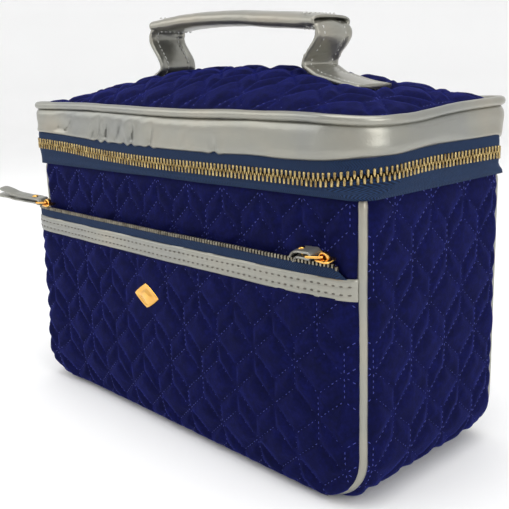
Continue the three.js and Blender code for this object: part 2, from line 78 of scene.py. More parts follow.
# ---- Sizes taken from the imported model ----
HALF_W, _, BODY_TOP = span("gusset")[1]
HALF_D = span("back_panel")[1][1]
ZIP_Z = joint_place("lid_open")[2]
LOW_TAPE, LOW_TAPE_TOP = heights("zip_lower_tape")
HIGH_TAPE_TOP = heights("zip_upper_tape")[1]
ZIP_LOW, ZIP_TOP = heights("zip_lower_teeth")[0], heights("zip_upper_teeth")[1]
TAPE_HALF = 0.5  # half the thickness of a zip tape
ZIP_HALF_X, ZIP_HALF_Y = span("zip_lower_tape")[1][:2] - TAPE_HALF
# The lid's corner radii: rear left, front left, front right and rear right.
CORNERS = (15.0, 11.0, 24.0, 14.0)
BAND_LOW, BAND_TOP = heights("lid_band")
LID_PIPE_Z = sum(heights("lid_piping")) / 2
LID_PIPE_R = 2.2
LID_PIPE_OUT = 1.2  # how far the lid's piping stands out from the zip's centre line
CROWN_X, CROWN_Y = span("lid_panel")[1][:2]
CROWN_LOW, CROWN_TOP = heights("lid_panel")[0], 198.0
CROWN_INSET = ZIP_HALF_X - CROWN_X
STRIP_X = span("hinge_strip_lower")[1][0]
BASE_ROUND = 26.0  # radius of the body's bottom corners, seen from the front
SEAM_ROUND = 12.0  # how far the panels roll back towards their seams
PIPE_R = 2.2
PIPE_INSET = 3.94
SEAM_END = 3.2  # where a panel ends, counted from the case's sharp edge
POCKET_TOP = heights("pocket_panel")[1]
TRIM_LOW, TRIM_TOP = heights("pocket_trim")
ROW_LOW, ROW_TOP = heights("pocket_zip_teeth")

# ---- Small numeric helpers ----


def smooth(value, low=0.0, high=1.0):
    t = np.clip((np.asarray(value, float) - low) / (high - low), 0, 1)
    return t * t * (3 - 2 * t)


def lattice_value(i, j, seed):
    """A repeatable number from 0 to 1 for each whole pair."""
    n = i.astype(np.int64) * 374761393 + j.astype(np.int64) * 668265263 + seed * 144665
    n = (n ^ (n >> 13)) * 1274126177 & 0x7FFFFFFF
    return ((n ^ (n >> 16)) & 0xFFFF) / 0xFFFF


def noise(u, v, size, seed):
    """Smooth noise from -1 to 1 whose bumps are about size across."""
    u, v = np.broadcast_arrays(np.asarray(u, float) / size, np.asarray(v, float) / size)
    i, j = np.floor(u), np.floor(v)
    a, b = smooth(u - i), smooth(v - j)
    low = lattice_value(i, j, seed) * (1 - a) + lattice_value(i + 1, j, seed) * a
    high = lattice_value(i, j + 1, seed) * (1 - a) + lattice_value(i + 1, j + 1, seed) * a
    return 2 * (low * (1 - b) + high * b) - 1


def curve_through(points, step):
    """A smooth curve through the points, with samples about step apart."""
    points = np.asarray(points, float)
    padded = np.vstack([2 * points[0] - points[1], points, 2 * points[-1] - points[-2]])
    fine = []
    for k in range(1, len(padded) - 2):
        p0, p1, p2, p3 = padded[k - 1 : k + 3]
        t = np.linspace(0, 1, 24, endpoint=k == len(padded) - 3)[:, None]
        fine.append(
            0.5 * (2 * p1 + (p2 - p0) * t + (2 * p0 - 5 * p1 + 4 * p2 - p3) * t**2
                   + (3 * p1 - p0 - 3 * p2 + p3) * t**3)
        )
    return resample(np.vstack(fine), step)


def lengths(path):
    """Distance along a path of points, from its start."""
    return np.concatenate([[0], np.cumsum(np.linalg.norm(np.diff(path, axis=0), axis=1))])


def sampled(where, s, values):
    """Rows of values that are known at the distances s, at the distances where."""
    return np.stack([np.interp(where, s, column) for column in values.T], 1)


def resample(path, step):
    s = lengths(path)
    return sampled(np.linspace(0, s[-1], max(2, int(round(s[-1] / step)) + 1)), s, path)


def unit(v):
    return v / np.linalg.norm(v, axis=-1, keepdims=True)


def circle(count):
    """Angles of count points round a circle."""
    return np.arange(count) * 2 * math.pi / count


def powered(value, power):
    """The power of a value's size, with the value's own sign."""
    return np.sign(value) * np.abs(value) ** power


def hump(value, middle, width):
    """A smooth bump that is 1 at its middle."""
    return np.exp(-(((value - middle) / width) ** 2))


def points_at(x, y, z):
    """Points whose x, y and z are each a number or an array."""
    return np.column_stack(np.broadcast_arrays(x, y, z))


# ---- Mesh helpers ----


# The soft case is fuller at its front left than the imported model.
CORNER_POWER = 6  # of the squarer curve that the bottom left corner follows
POCKET_BESIDE, POCKET_AHEAD = 3.4, 2.8  # how far the pocket's left end stands out sideways and forwards


def fuller(name, points):
    """Points of a piece of the body, with the corner made squarer and the pocket's end pushed out."""
    points = np.array(points, float)
    x, y, z = points.T
    beside, under = np.maximum(BASE_ROUND - HALF_W - x, 0), np.maximum(BASE_ROUND - z, 0)
    reach = np.maximum(np.hypot(beside, under), 0.001)
    shares = (beside / reach) ** CORNER_POWER + (under / reach) ** CORNER_POWER
    squarer = np.maximum(shares, 0.001) ** (-1 / CORNER_POWER)
    scale = np.where((beside > 0) & (under > 0), (squarer - 1) * smooth(-y, 10, 45), 0)
    points[:, 0] -= beside * scale
    if name.startswith("pocket_") and "inner" not in name:
        push = smooth(-x, 92, 132) * (1 + 0.5 * (1 - smooth(z, 10, 70)))
        points[:, 0] -= POCKET_BESIDE * push
        points[:, 1] -= POCKET_AHEAD * push
    return points


def new_object(name, points, faces, material, body, uv=None, replaces=(), ride=True):
    if body == "case_body":
        points = fuller(name, points)
    mesh = bpy.data.meshes.new(name)
    mesh.from_pydata((np.asarray(points) * MM).tolist(), [], faces)
    mesh.update()
    mesh.polygons.foreach_set("use_smooth", [True] * len(mesh.polygons))
    if uv is not None:
        corner = np.empty(len(mesh.loops), dtype=np.int64)
        mesh.loops.foreach_get("vertex_index", corner)
        layer = mesh.uv_layers.new(name="along")
        layer.data.foreach_set("uv", (np.asarray(uv)[corner] * MM).ravel())
    thing = bpy.data.objects.new(name, mesh)
    bpy.context.scene.collection.objects.link(thing)
    mesh.materials.append(material)
    if ride:
        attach(thing, body)
    if replaces:
        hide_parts(*replaces)
    return thing


def ring_faces(count, rings, joined=False, caps=True, start=0):
    """Quads between rings of count points, with the end rings closed unless the last meets the first."""
    i = np.arange(count)
    last = rings if joined else rings - 1
    faces = []
    for r in range(last):
        here, there = start + r * count, start + (r + 1) % rings * count
        quads = np.stack([here + i, here + (i + 1) % count, there + (i + 1) % count, there + i], 1)
        faces.extend(quads.tolist())
    if caps and not joined:
        end = start + (rings - 1) * count
        faces.append((start + i[::-1]).tolist())
        faces.append((end + i).tolist())
    return faces


def outward(rings, faces):
    """Turns the faces over if they enclose their space inside out."""
    points = rings.reshape(-1, 3)
    volume = 0.0
    middle = points.mean(0)
    for face in faces[:: max(1, len(faces) // 4000)]:
        a = points[face[0]] - middle
        for k in range(1, len(face) - 1):
            volume += a @ np.cross(points[face[k]] - middle, points[face[k + 1]] - middle)
    return [face[::-1] for face in faces] if volume < 0 else faces


def loft(name, rings, material, body, joined=False, caps=True, uv=False, **more):
    """A skin over rings, an array of shape (rings, points, 3)."""
    rings = np.asarray(rings, float)
    faces = outward(rings, ring_faces(rings.shape[1], rings.shape[0], joined, caps))
    where = None
    if uv:
        grid = np.meshgrid(lengths(rings[:, 0]), lengths(rings[0]), indexing="ij")
        where = np.stack(grid, -1).reshape(-1, 2)
    return new_object(name, rings.reshape(-1, 3), faces, material, body, where, **more)


def copies(name, templates, faces, material, body, **more):
    """Many small closed shapes in one mesh. templates has the shape (copies, points, 3)."""
    count = templates.shape[1]
    every = []
    for k in range(templates.shape[0]):
        every.extend([[v + k * count for v in face] for face in faces])
    return new_object(name, templates.reshape(-1, 3), every, material, body, **more)


# A stitch's thread: how far along it a ring lies and the ring's share of the thread's radius.
STITCH_RINGS = ((-0.5, 0.35), (-0.28, 0.95), (0.0, 1.0), (0.28, 0.95), (0.5, 0.35))
STITCH_SIDES = 5
STITCH_LIFT = 0.9  # height of its middle over the surface, as a share of its radius
STITCH_SINK = 0.25  # half the depth that its ends dip by


def stitch_shapes(starts, ends, normals, radius):
    """Rounded threads from start to end, whose ends dip under the surface."""
    along = ends - starts
    side = unit(np.cross(along, normals))
    up = unit(np.cross(side, along))
    middle = (starts + ends) / 2
    out = []
    for t, size in STITCH_RINGS:
        lift = radius * (STITCH_LIFT - STITCH_SINK / radius * 8 * t * t)
        centre = middle + along * t + up * lift
        for angle in circle(STITCH_SIDES):
            out.append(centre + radius * size * (side * math.cos(angle) + up * math.sin(angle)))
    return np.stack(out, 1)


def stitch_object(name, starts, ends, normals, radius, material, body, **more):
    shapes = stitch_shapes(np.asarray(starts), np.asarray(ends), np.asarray(normals), radius)
    faces = ring_faces(STITCH_SIDES, len(STITCH_RINGS))
    faces = outward(shapes[0][None], faces)
    return copies(name, shapes, faces, material, body, **more)


def dashes(path, normals, pitch, length):
    """Start, end and normal of the stitches along a path of points."""
    s = lengths(path)
    centres = np.arange(pitch / 2, s[-1] - length / 2, pitch)
    starts, ends = (sampled(centres + half, s, path) for half in (-length / 2, length / 2))
    return starts, ends, unit(sampled(centres, s, normals))


# ---- Materials ----


class Nodes:
    """A small helper that makes a material's nodes and joins them."""

    def __init__(self, name):
        self.material = bpy.data.materials.new(name)
        self.material.use_nodes = True
        self.tree = self.material.node_tree
        self.shader = self.tree.nodes["Principled BSDF"]
        place = self.add("ShaderNodeTexCoord")
        self.place = place.outputs["Object"]
        self.uv = place.outputs["UV"]

    def add(self, kind, **settings):
        node = self.tree.nodes.new(kind)
        for key, value in settings.items():
            if key in node.inputs:
                node.inputs[key].default_value = value
            else:
                setattr(node, key, value)
        return node

    def link(self, source, target):
        self.tree.links.new(source, target)

    def noise(self, scale, detail=2.0, rough=0.5, stretch=None, where=None):
        node = self.add("ShaderNodeTexNoise", Scale=scale, Detail=detail, Roughness=rough)
        source = where or self.place
        if stretch:
            mapping = self.add("ShaderNodeMapping")
            mapping.inputs["Scale"].default_value = stretch
            self.link(source, mapping.inputs["Vector"])
            source = mapping.outputs["Vector"]
        self.link(source, node.inputs["Vector"])
        return node.outputs["Fac"]

    def ramp(self, source, stops):
        node = self.add("ShaderNodeValToRGB")
        ramp = node.color_ramp
        while len(ramp.elements) < len(stops):
            ramp.elements.new(0.5)
        for element, (at, colour) in zip(ramp.elements, stops):
            element.position = at
            element.color = (*colour, 1)
        self.link(source, node.inputs["Fac"])
        return node.outputs["Color"]

    def math(self, operation, a, b):
        node = self.add("ShaderNodeMath", operation=operation)
        for socket, value in zip(node.inputs, (a, b)):
            if isinstance(value, (int, float)):
                socket.default_value = value
            else:
                self.link(value, socket)
        return node.outputs["Value"]

    def mixed(self, a, b, share):
        """That share of a and the rest of b."""
        return self.math("ADD", self.math("MULTIPLY", a, share), self.math("MULTIPLY", b, 1 - share))

    def rough_between(self, source, low, high):
        """Roughness that follows source from low to high."""
        node = self.add("ShaderNodeMapRange")
        self.link(source, node.inputs["Value"])
        node.inputs["To Min"].default_value = low
        node.inputs["To Max"].default_value = high
        self.link(node.outputs["Result"], self.shader.inputs["Roughness"])

    def set(self, **values):
        for key, value in values.items():
            socket = self.shader.inputs[key.replace("_", " ")]
            if isinstance(value, bpy.types.NodeSocket):
                self.link(value, socket)
            elif isinstance(value, tuple):
                socket.default_value = (*value, 1)
            else:
                socket.default_value = value

    def bump(self, *layers):
        """Each layer is (height, strength, distance in mm)."""
        before = None
        for height, strength, distance in layers:
            node = self.add("ShaderNodeBump", Strength=strength, Distance=distance * MM)
            self.link(height, node.inputs["Height"])
            if before:
                self.link(before, node.inputs["Normal"])
            before = node.outputs["Normal"]
        self.link(before, self.shader.inputs["Normal"])


def srgb(r, g, b):
    """Linear colour from 0..255 values."""
    def lift(c):
        c = c / 255
        return c / 12.92 if c <= 0.04045 else ((c + 0.055) / 1.055) ** 2.4

    return lift(r), lift(g), lift(b)


def velvet():
    n = Nodes("royal_velvet")
    crush = n.noise(110, 3, 0.55)
    pile = n.noise(520, 2, 0.6)
    stops = [(0.34, srgb(6, 9, 42)), (0.5, srgb(9, 12, 55)), (0.68, srgb(14, 18, 72))]
    colour = n.ramp(n.mixed(crush, pile, 0.45), stops)
    n.set(Base_Color=colour, Roughness=0.85, Specular_IOR_Level=0.08)
    n.set(Sheen_Weight=0.32, Sheen_Roughness=0.36, Sheen_Tint=srgb(44, 62, 215))
    n.bump((n.noise(2600, 2, 0.7), 0.35, 0.3), (n.noise(160, 3, 0.6), 0.25, 0.8))
    return n.material


def thread(name, colour, rough=0.55):
    n = Nodes(name)
    twist = n.noise(900, 2, 0.5)
    n.set(Base_Color=n.ramp(twist, [(0.3, tuple(c * 0.7 for c in colour)), (0.7, colour)]))
    n.set(Roughness=rough, Sheen_Weight=0.2)
    n.bump((n.noise(1800, 1, 0.5), 0.4, 0.15))
    return n.material


def silver_leather():
    n = Nodes("silver_leather_grain")
    stops = [(0.3, srgb(138, 139, 135)), (0.5, srgb(148, 147, 138)), (0.7, srgb(156, 151, 139))]
    colour = n.ramp(n.noise(26, 3, 0.5), stops)
    grain = n.add("ShaderNodeTexVoronoi", Scale=1500)
    n.link(n.place, grain.inputs["Vector"])
    n.set(Base_Color=colour, Metallic=0.72)
    n.rough_between(n.noise(90, 3, 0.6), 0.26, 0.4)
    n.set(Coat_Weight=0.15, Coat_Roughness=0.3)
    n.bump((grain.outputs["Distance"], 0.12, 0.25), (n.noise(240, 4, 0.6), 0.16, 0.5))
    return n.material


RIB = 0.0012  # metres from one rib of the tape's weave to the next
RIB_TURN = 0.0021  # metres across the tape before the ribs slant the other way


def zip_tape():
    """Twill tape: the weave's ribs slant one way and then the other, as on a herringbone."""
    n = Nodes("zip_tape_weave")
    parts = n.add("ShaderNodeSeparateXYZ")
    n.link(n.uv, parts.inputs["Vector"])
    along, across = parts.outputs["X"], parts.outputs["Y"]
    zigzag = n.math("PINGPONG", across, RIB_TURN)
    slant = n.math("ADD", along, zigzag)
    ribs = n.math("SINE", n.math("MULTIPLY", slant, 2 * math.pi / RIB), 0.0)
    height = n.math("ADD", n.math("MULTIPLY", ribs, 0.5), 0.5)
    tone = n.mixed(height, n.noise(700, 2, 0.5), 0.6)
    n.set(Base_Color=n.ramp(tone, [(0.25, srgb(8, 20, 42)), (0.75, srgb(26, 50, 84))]))
    n.set(Roughness=0.75, Specular_IOR_Level=0.2, Sheen_Weight=0.1, Sheen_Tint=srgb(90, 130, 190))
    n.bump((height, 0.55, 0.18), (n.noise(1200, 2, 0.5), 0.2, 0.1))
    return n.material


def metal(name, bright, dull, rough_low, rough_high, scale=300):
    n = Nodes(name)
    worn = n.noise(scale, 3, 0.6)
    n.set(Base_Color=n.ramp(worn, [(0.3, dull), (0.65, bright)]), Metallic=1.0)
    n.rough_between(n.noise(scale * 2.2, 2, 0.5), rough_low, rough_high)
    n.bump((n.noise(scale * 5, 2, 0.5), 0.06, 0.1))
    return n.material


def lining_cloth():
    n = Nodes("lining_satin")
    weave_a = n.noise(900, 1, 0.5, stretch=(1, 1, 0.08))
    weave_b = n.noise(900, 1, 0.5, stretch=(0.08, 0.08, 1))
    tone = n.mixed(weave_a, weave_b, 0.5)
    n.set(Base_Color=n.ramp(tone, [(0.35, srgb(26, 28, 58)), (0.65, srgb(44, 46, 86))]))
    n.set(Roughness=0.5, Sheen_Weight=0.4, Sheen_Roughness=0.4, Sheen_Tint=srgb(140, 145, 200))
    n.bump((tone, 0.3, 0.15), (n.noise(40, 3, 0.5), 0.35, 1.5))
    return n.material


def board_fibre():
    n = Nodes("board_fibre")
    fibre = n.noise(500, 4, 0.7, stretch=(1, 0.25, 1))
    n.set(Base_Color=n.ramp(fibre, [(0.3, srgb(44, 44, 50)), (0.7, srgb(74, 73, 78))]), Roughness=0.85)
    n.bump((fibre, 0.35, 0.2))
    return n.material


def floor_paint():
    n = Nodes("studio_floor")
    n.set(Base_Color=n.ramp(n.noise(3, 3, 0.5), [(0.2, (0.95, 0.95, 0.95)), (0.8, (0.98, 0.98, 0.98))]))
    n.set(Roughness=0.75, Specular_IOR_Level=0.2)
    n.bump((n.noise(500, 2, 0.5), 0.04, 0.2))
    return n.material


VELVET = velvet()
NAVY_THREAD = thread("navy_thread", srgb(40, 52, 150))
GREY_THREAD = thread("grey_thread", srgb(98, 92, 82))
PALE_THREAD = thread("pale_thread", srgb(226, 226, 222))
SILVER = silver_leather()
TAPE = zip_tape()
BRASS = metal("zip_brass_worn", srgb(198, 176, 122), srgb(112, 90, 54), 0.2, 0.34)
PALE_BRASS = metal("pocket_teeth_worn", srgb(150, 144, 128), srgb(92, 86, 74), 0.25, 0.42)
GOLD = metal("gold_polish", srgb(240, 190, 104), srgb(226, 168, 84), 0.10, 0.2, 120)
LINING = lining_cloth()
BOARD = board_fibre()

# ---- Quilting ----
# Nodes lie in rows, and every other row is shifted by half a period. Six lines of stitches leave a node.
PERIOD = 26.7
ROW = 23.5
HALF_DIAMOND = 11.5
TIE = ROW - HALF_DIAMOND
RAYS = [(0, TIE), (0, -TIE)] + [
    (side * PERIOD / 2, rise * HALF_DIAMOND) for side in (-1, 1) for rise in (-1, 1)
]
PUFF_REACH = 6.5  # the padding is full this far from a line of stitches
STITCH_PITCH = 2.7
STITCH_LENGTH = 1.75
STITCH_RADIUS = 0.21
KNOT_GAP = 0.7  # stitches stop this far from where their lines meet


def quilt_distance(u, v, origin):
    """Distance to the nearest line of stitches of a lattice with a node at origin."""
    best = np.full(np.shape(u), 1e9)
    row = np.round((origin[1] - v) / ROW)
    for dk in (-1, 0, 1):
        k = row + dk
        shift = np.mod(k, 2) * PERIOD / 2
        node_v = origin[1] - k * ROW
        column = np.round((u - origin[0] - shift) / PERIOD)
        for di in (-1, 0, 1):
            du = u - (origin[0] + shift + (column + di) * PERIOD)
            dv = v - node_v
            for ru, rv in RAYS:
                t = np.clip((du * ru + dv * rv) / (ru * ru + rv * rv), 0, 1)
                best = np.minimum(best, np.hypot(du - t * ru, dv - t * rv))
    return best


def puff_height(u, v, origin, puff, seed):
    """How far the padding swells between the stitches, with small creases beside them."""
    d = quilt_distance(u, v, origin)
    swell = 1 - (1 - np.minimum(d / PUFF_REACH, 1)) ** 2.2
    slack = 1 + 0.16 * noise(u, v, 17, seed) + 0.07 * noise(u, v, 5, seed + 1)
    creases = 0.17 * noise(u + 0.4 * v, v, 3.1, seed + 2) * smooth(d, 0.2, 1.6) * (1 - smooth(d, 4, 7))
    return puff * swell * slack + creases * min(puff, 1.6) / 1.6


def quilted(name, surface, inner, u, v, origin, puff, body, seed, cover=None, **more):
    """A padded panel. u and v are grids, surface gives points, normals and distance to the seam."""
    points, normals, edge = surface(u, v)
    height = puff_height(u, v, origin, puff, seed) * smooth(edge, 3.0, 10.0)
    if cover is not None:
        height = height * cover(u, v)
    outer = points + normals * height[..., None]
    back = inner(u[:, ::8], v[:, ::8])[:, ::-1]
    rings = np.concatenate([outer, back], 1)
    panel = loft(name, rings, VELVET, body, **more)
    return panel


def quilt_stitches(name, surface, origin, low, high, body, keep):
    """The threads of a panel, over the (u, v) box from low to high, where keep(u, v, edge) allows."""
    ends = []
    rows = range(int((origin[1] - high[1]) // ROW) - 1, int((origin[1] - low[1]) // ROW) + 3)
    for k in rows:
        shift = (k % 2) * PERIOD / 2
        first = int((low[0] - origin[0] - shift) // PERIOD) - 1
        for i in range(first, int((high[0] - origin[0] - shift) // PERIOD) + 3):
            node = np.array([origin[0] + shift + i * PERIOD, origin[1] - k * ROW])
            for ray in RAYS:
                ray = np.array(ray)
                reach = np.linalg.norm(ray)
                count = int(reach / STITCH_PITCH)
                gap = (reach - 2 * KNOT_GAP) / count
                for c in range(count):
                    middle = KNOT_GAP + (c + 0.5) * gap
                    ends.append([node + ray / reach * (middle + h * STITCH_LENGTH / 2) for h in (-1, 1)])
    ends = np.array(ends)
    wobble = 0.12 * noise(ends[:, :, 0] * 3, ends[:, :, 1] * 3, 1.7, 77)
    a = ends[:, 0] + wobble[:, :1]
    b = ends[:, 1] + wobble[:, 1:]
    start, normal, edge_a = surface(a[:, 0], a[:, 1])
    end, _, edge_b = surface(b[:, 0], b[:, 1])
    middle = (a + b) / 2
    inside = (middle > np.array(low)).all(1) & (middle < np.array(high)).all(1)
    use = inside & keep(middle[:, 0], middle[:, 1], np.minimum(edge_a, edge_b))
    return stitch_object(name, start[use], end[use], normal[use], STITCH_RADIUS, NAVY_THREAD, body)


# ---- The body's panels ----


def seam_roll(edge, radius=SEAM_ROUND):
    """How far a surface has rolled back at that distance from the case's sharp edge."""
    inside = np.clip(radius - edge, 0, radius)
    return radius - np.sqrt(radius**2 - inside**2)


def trough_edge(x, z):
    """Distance from the body's outline, seen from the front, to a point in it."""
    over = np.maximum(np.abs(x) - (HALF_W - BASE_ROUND), 0)
    under = np.maximum(BASE_ROUND - z, 0)
    return BASE_ROUND - np.hypot(over, under)


def trough_half(z, inset):
    """Half the outline's width at a height, drawn in by inset."""
    drop = np.maximum(BASE_ROUND - z, 0)
    reach = np.sqrt(np.maximum((BASE_ROUND - inset) ** 2 - drop**2, 0))
    return HALF_W - BASE_ROUND + reach


def facing_surface(side, sunk=None):
    """The front (side -1) or back panel: u is x and v is z."""

    def surface(u, v):
        edge = trough_edge(u, v)
        y = HALF_D - seam_roll(edge)
        if sunk is not None:
            y = y - sunk(u, v)
        points = np.stack([u, side * y, v], -1)
        normals = np.zeros_like(points)
        normals[..., 1] = side
        return points, normals, edge

    return surface


GRID = 1.25  # about how far apart the panels' points are


def facing_grid(high):
    """Grids of x and z over a front or back panel, up to the height high."""
    angles = np.linspace(0, math.pi / 2, 32)[:-1]
    curve = BASE_ROUND - (BASE_ROUND - SEAM_END) * np.cos(angles)
    straight = np.linspace(BASE_ROUND, high, int((high - BASE_ROUND) / GRID) + 1)
    z = np.concatenate([curve, straight])
    half = trough_half(z, SEAM_END)
    t = np.linspace(-1, 1, int(2 * HALF_W / GRID))
    v, u = np.broadcast_to(z[:, None], (len(z), len(t))), half[:, None] * t
    return u, v


PANEL_THICK = 4.8  # from a panel's face to its back


def facing_inner(side):
    def inner(u, v):
        return np.stack([u * 0.985, np.full_like(u, side * (HALF_D - PANEL_THICK)), v], -1)

    return inner


# A node of each panel's quilting, in the panel's own u and v.
FRONT_NODE = (-87.6, 143.0)
POCKET_NODE = (44.5, 66.4)
SIDE_NODE = (-35.4, 91.4)
BACK_NODE = (8.0, 90.0)
LID_NODE = (-6.0, 4.0)
PANEL_PUFF = 1.7
SEAM_CLEAR = 4.2  # no stitch lies nearer to a seam


def off_seam(u, v, edge):
    return edge > SEAM_CLEAR


def over_pocket(u, v):
    return smooth(v, POCKET_TOP - 3, POCKET_TOP + 3)


def by_pulls(u, v):
    """Where the pocket's sliders and pulls lie against the panel and keep its padding down."""
    return (1 - smooth(np.abs(v - POCKET_TOP - 20), 5, 10)) * smooth(np.abs(u), 95, 105)


def near_top(u, v):
    return 1 - smooth(v, BODY_TOP - 8, BODY_TOP - 2)


u, v = facing_grid(BODY_TOP)
front_surface = facing_surface(-1, lambda x, z: 1 - over_pocket(x, z))
quilted("front_quilt", front_surface, facing_inner(-1), u, v, FRONT_NODE, PANEL_PUFF, "case_body", 11,
        cover=lambda x, z: over_pocket(x, z) * near_top(x, z) * (1 - 0.5 * by_pulls(x, z)),
        replaces=["front_panel"])
quilt_stitches("front_quilt_stitches", front_surface, FRONT_NODE, (-HALF_W, 112), (HALF_W, BODY_TOP),
               "case_body", off_seam)
back_surface = facing_surface(1)
quilted("back_quilt", back_surface, facing_inner(1), u, v, BACK_NODE, PANEL_PUFF, "case_body", 23,
        cover=near_top, replaces=["back_panel"])
quilt_stitches("back_quilt_stitches", back_surface, BACK_NODE, (-HALF_W, 4), (HALF_W, BODY_TOP),
               "case_body", off_seam)


def trough_path(inset, step, top):
    """The body's outline seen from the front: points (x, z), outward normals and distance along it."""
    middle_x, radius = HALF_W - BASE_ROUND, BASE_ROUND - inset
    angles = np.radians(np.linspace(0, 90, 46))
    turn = np.stack([np.sin(angles), -np.cos(angles)], 1)
    right = turn * radius + [middle_x, BASE_ROUND]
    right = np.vstack([right, [[middle_x + radius, top]]])
    normal = np.vstack([turn, [[1, 0]]])
    left, left_normal = right[::-1] * [-1, 1], normal[::-1] * [-1, 1]
    path, normals = np.vstack([left, right]), np.vstack([left_normal, normal])
    s = lengths(path)
    at = np.linspace(0, s[-1], int(s[-1] / step) + 1)
    return sampled(at, s, path), unit(sampled(at, s, normals)), at


U_PATH, U_NORMAL, U_S = trough_path(0, 1.0, BODY_TOP)
U_MIDDLE = U_S[-1] / 2


def gusset_point(u, s, inset):
    """A point over the gusset at y = u, distance s along the outline, drawn in by inset."""
    x, z, nx, nz = (np.interp(s, U_S, column) for column in (*U_PATH.T, *U_NORMAL.T))
    points = np.stack([x - nx * inset, u, z - nz * inset], -1)
    return points, np.stack([nx, np.zeros_like(nx), nz], -1)


def gusset_surface(u, s):
    edge = HALF_D - np.abs(u)
    points, normals = gusset_point(u, s, seam_roll(edge))
    return points, normals, edge


def gusset_inner(u, s):
    return gusset_point(u * 0.952, s, PANEL_THICK)[0]


def side_height(s):
    """Distance along the outline, counted so that it is the height on the sides."""
    return BODY_TOP - U_MIDDLE + np.abs(s - U_MIDDLE)


s_rows = np.linspace(0, U_S[-1], int(U_S[-1] / GRID))
half_u = HALF_D - SEAM_END
v, u = np.broadcast_arrays(s_rows[:, None], np.linspace(-half_u, half_u, int(2 * half_u / GRID))[None])


def gusset_quilted():
    points, normals, edge = gusset_surface(u, v)
    height = puff_height(u, side_height(v), SIDE_NODE, PANEL_PUFF, 31)
    height = height * smooth(edge, 3, 10) * near_top(u, side_height(v))
    base = 1 - 0.75 * (1 - smooth(side_height(v), -25, -2))
    outer = points + normals * (height * base)[..., None]
    # The padding under the case is pressed flat by what the case stands on.
    outer[..., 2] = np.maximum(outer[..., 2], 0.05)
    rings = np.concatenate([outer, gusset_inner(u[:, ::8], v[:, ::8])[:, ::-1]], 1)
    panel = loft("gusset_quilt", rings, VELVET, "case_body", replaces=["gusset"])


gusset_quilted()
for side, name in ((1, "right"), (-1, "left")):
    def side_surface(a, b, side=side):
        return gusset_surface(a, U_MIDDLE + side * (b - (BODY_TOP - U_MIDDLE)))

    quilt_stitches(f"gusset_stitches_{name}", side_surface, SIDE_NODE, (-HALF_D, -10), (HALF_D, BODY_TOP),
                   "case_body", off_seam)


# ---- Piping in the body's seams ----


def tube(name, centres, first, second, radius, material, body, sides=14, joined=False, **more):
    """A round cord along centres, whose section lies in the directions first and second."""
    angles = circle(sides)
    radius = np.broadcast_to(radius, (len(centres),))
    rings = centres[:, None] + radius[:, None, None] * (
        np.cos(angles)[None, :, None] * first[:, None] + np.sin(angles)[None, :, None] * second[:, None]
    )
    return loft(name, rings, material, body, joined=joined, **more)


def body_piping(name, side, seed, node):
    path, normal, s = trough_path(PIPE_INSET, 1.2, BODY_TOP + 0.3)
    tuck = 1.0 * smooth(path[:, 1], BODY_TOP - 6, BODY_TOP)
    y = side * (HALF_D - PIPE_INSET - tuck)
    centres = np.stack([path[:, 0] - normal[:, 0] * tuck, y, path[:, 1] - normal[:, 1] * tuck], 1)
    first = np.stack([normal[:, 0], np.zeros(len(s)), normal[:, 1]], 1)
    second = np.tile([0.0, 1.0, 0.0], (len(s), 1))
    radius = PIPE_R * (1 + 0.025 * noise(s, 0, 7, seed) + 0.015 * noise(s, 0, 2.3, seed + 1))
    centres[:, 1] += 0.2 * noise(s, 0, 23, seed + 2)
    tube(name, centres, first, second, radius, SILVER, "case_body", replaces=[node])


body_piping("front_piping_cord", -1, 41, "front_piping")
body_piping("back_piping_cord", 1, 44, "back_piping")

# ---- Loops round the lid ----
LOOP_STEPS = (150, 46, 26)  # samples along a long side, a short side and a corner


def lid_loop(half_x, half_y, radii):
    """Points and outward normals from the middle of the rear, by the left side, to the front and on."""
    long_side, short_side, corner = LOOP_STEPS
    sides = ((-1, 1, 90), (-1, -1, 180), (1, -1, 270), (1, 1, 0))
    points, normals = [(0.0, half_y)], [(0.0, 1.0)]

    def straight(b, count):
        a = np.array(points[-1])
        for t in np.arange(1, count + 1) / count:
            points.append(tuple(a + (np.array(b) - a) * t))
            normals.append(normals[-1])

    counts = (long_side // 2, short_side, long_side, short_side)
    for (sx, sy, start), radius, count in zip(sides, radii, counts):
        x, y = sx * (half_x - radius), sy * (half_y - radius)
        angles = np.radians(start + 90 * np.arange(1, corner + 1) / corner)
        first = math.radians(start)
        straight((x + radius * math.cos(first), y + radius * math.sin(first)), count)
        for angle in angles:
            out = math.cos(angle), math.sin(angle)
            points.append((x + radius * out[0], y + radius * out[1]))
            normals.append(out)
    straight((0.0, half_y), long_side // 2)
    return np.array(points[:-1]), np.array(normals[:-1])


ZIP_LOOP, ZIP_OUT = lid_loop(ZIP_HALF_X, ZIP_HALF_Y, CORNERS)
LOOP_S = lengths(np.vstack([ZIP_LOOP, ZIP_LOOP[:1]]))
ZIP_LENGTH = LOOP_S[-1]
LOOP_S = LOOP_S[:-1]
# The lower tape's edge flares out to a larger loop, which covers the ends of the body's piping.
FLARE_LOOP, FLARE_OUT = lid_loop(HALF_W + 1.0, HALF_D + 1.0, (8.0, 8.0, 8.0, 8.0))
# The soft lid and zip swell out and lie above or below their level height, all in mm.
SWELL_LEFT, SWELL_RIGHT = 2.2, 1.9  # outwards at the front left and rear right corners
TAPE_DIP = 1.5  # the lower tape's edge, at the front and on the right
TAPE_EDGE = 145.5  # its height
ZIP_RISE, ZIP_DIP = 3.3, 2.4  # the zip at the front left, and in the middle of the front
SIDE_ZIP, SIDE_BAND = 1.6, 1.3  # the zip and the band's edge on the right side
RIM_RISE, RIM_DIP = 1.2, 3.0  # the band's top at the front left, and at the near corner


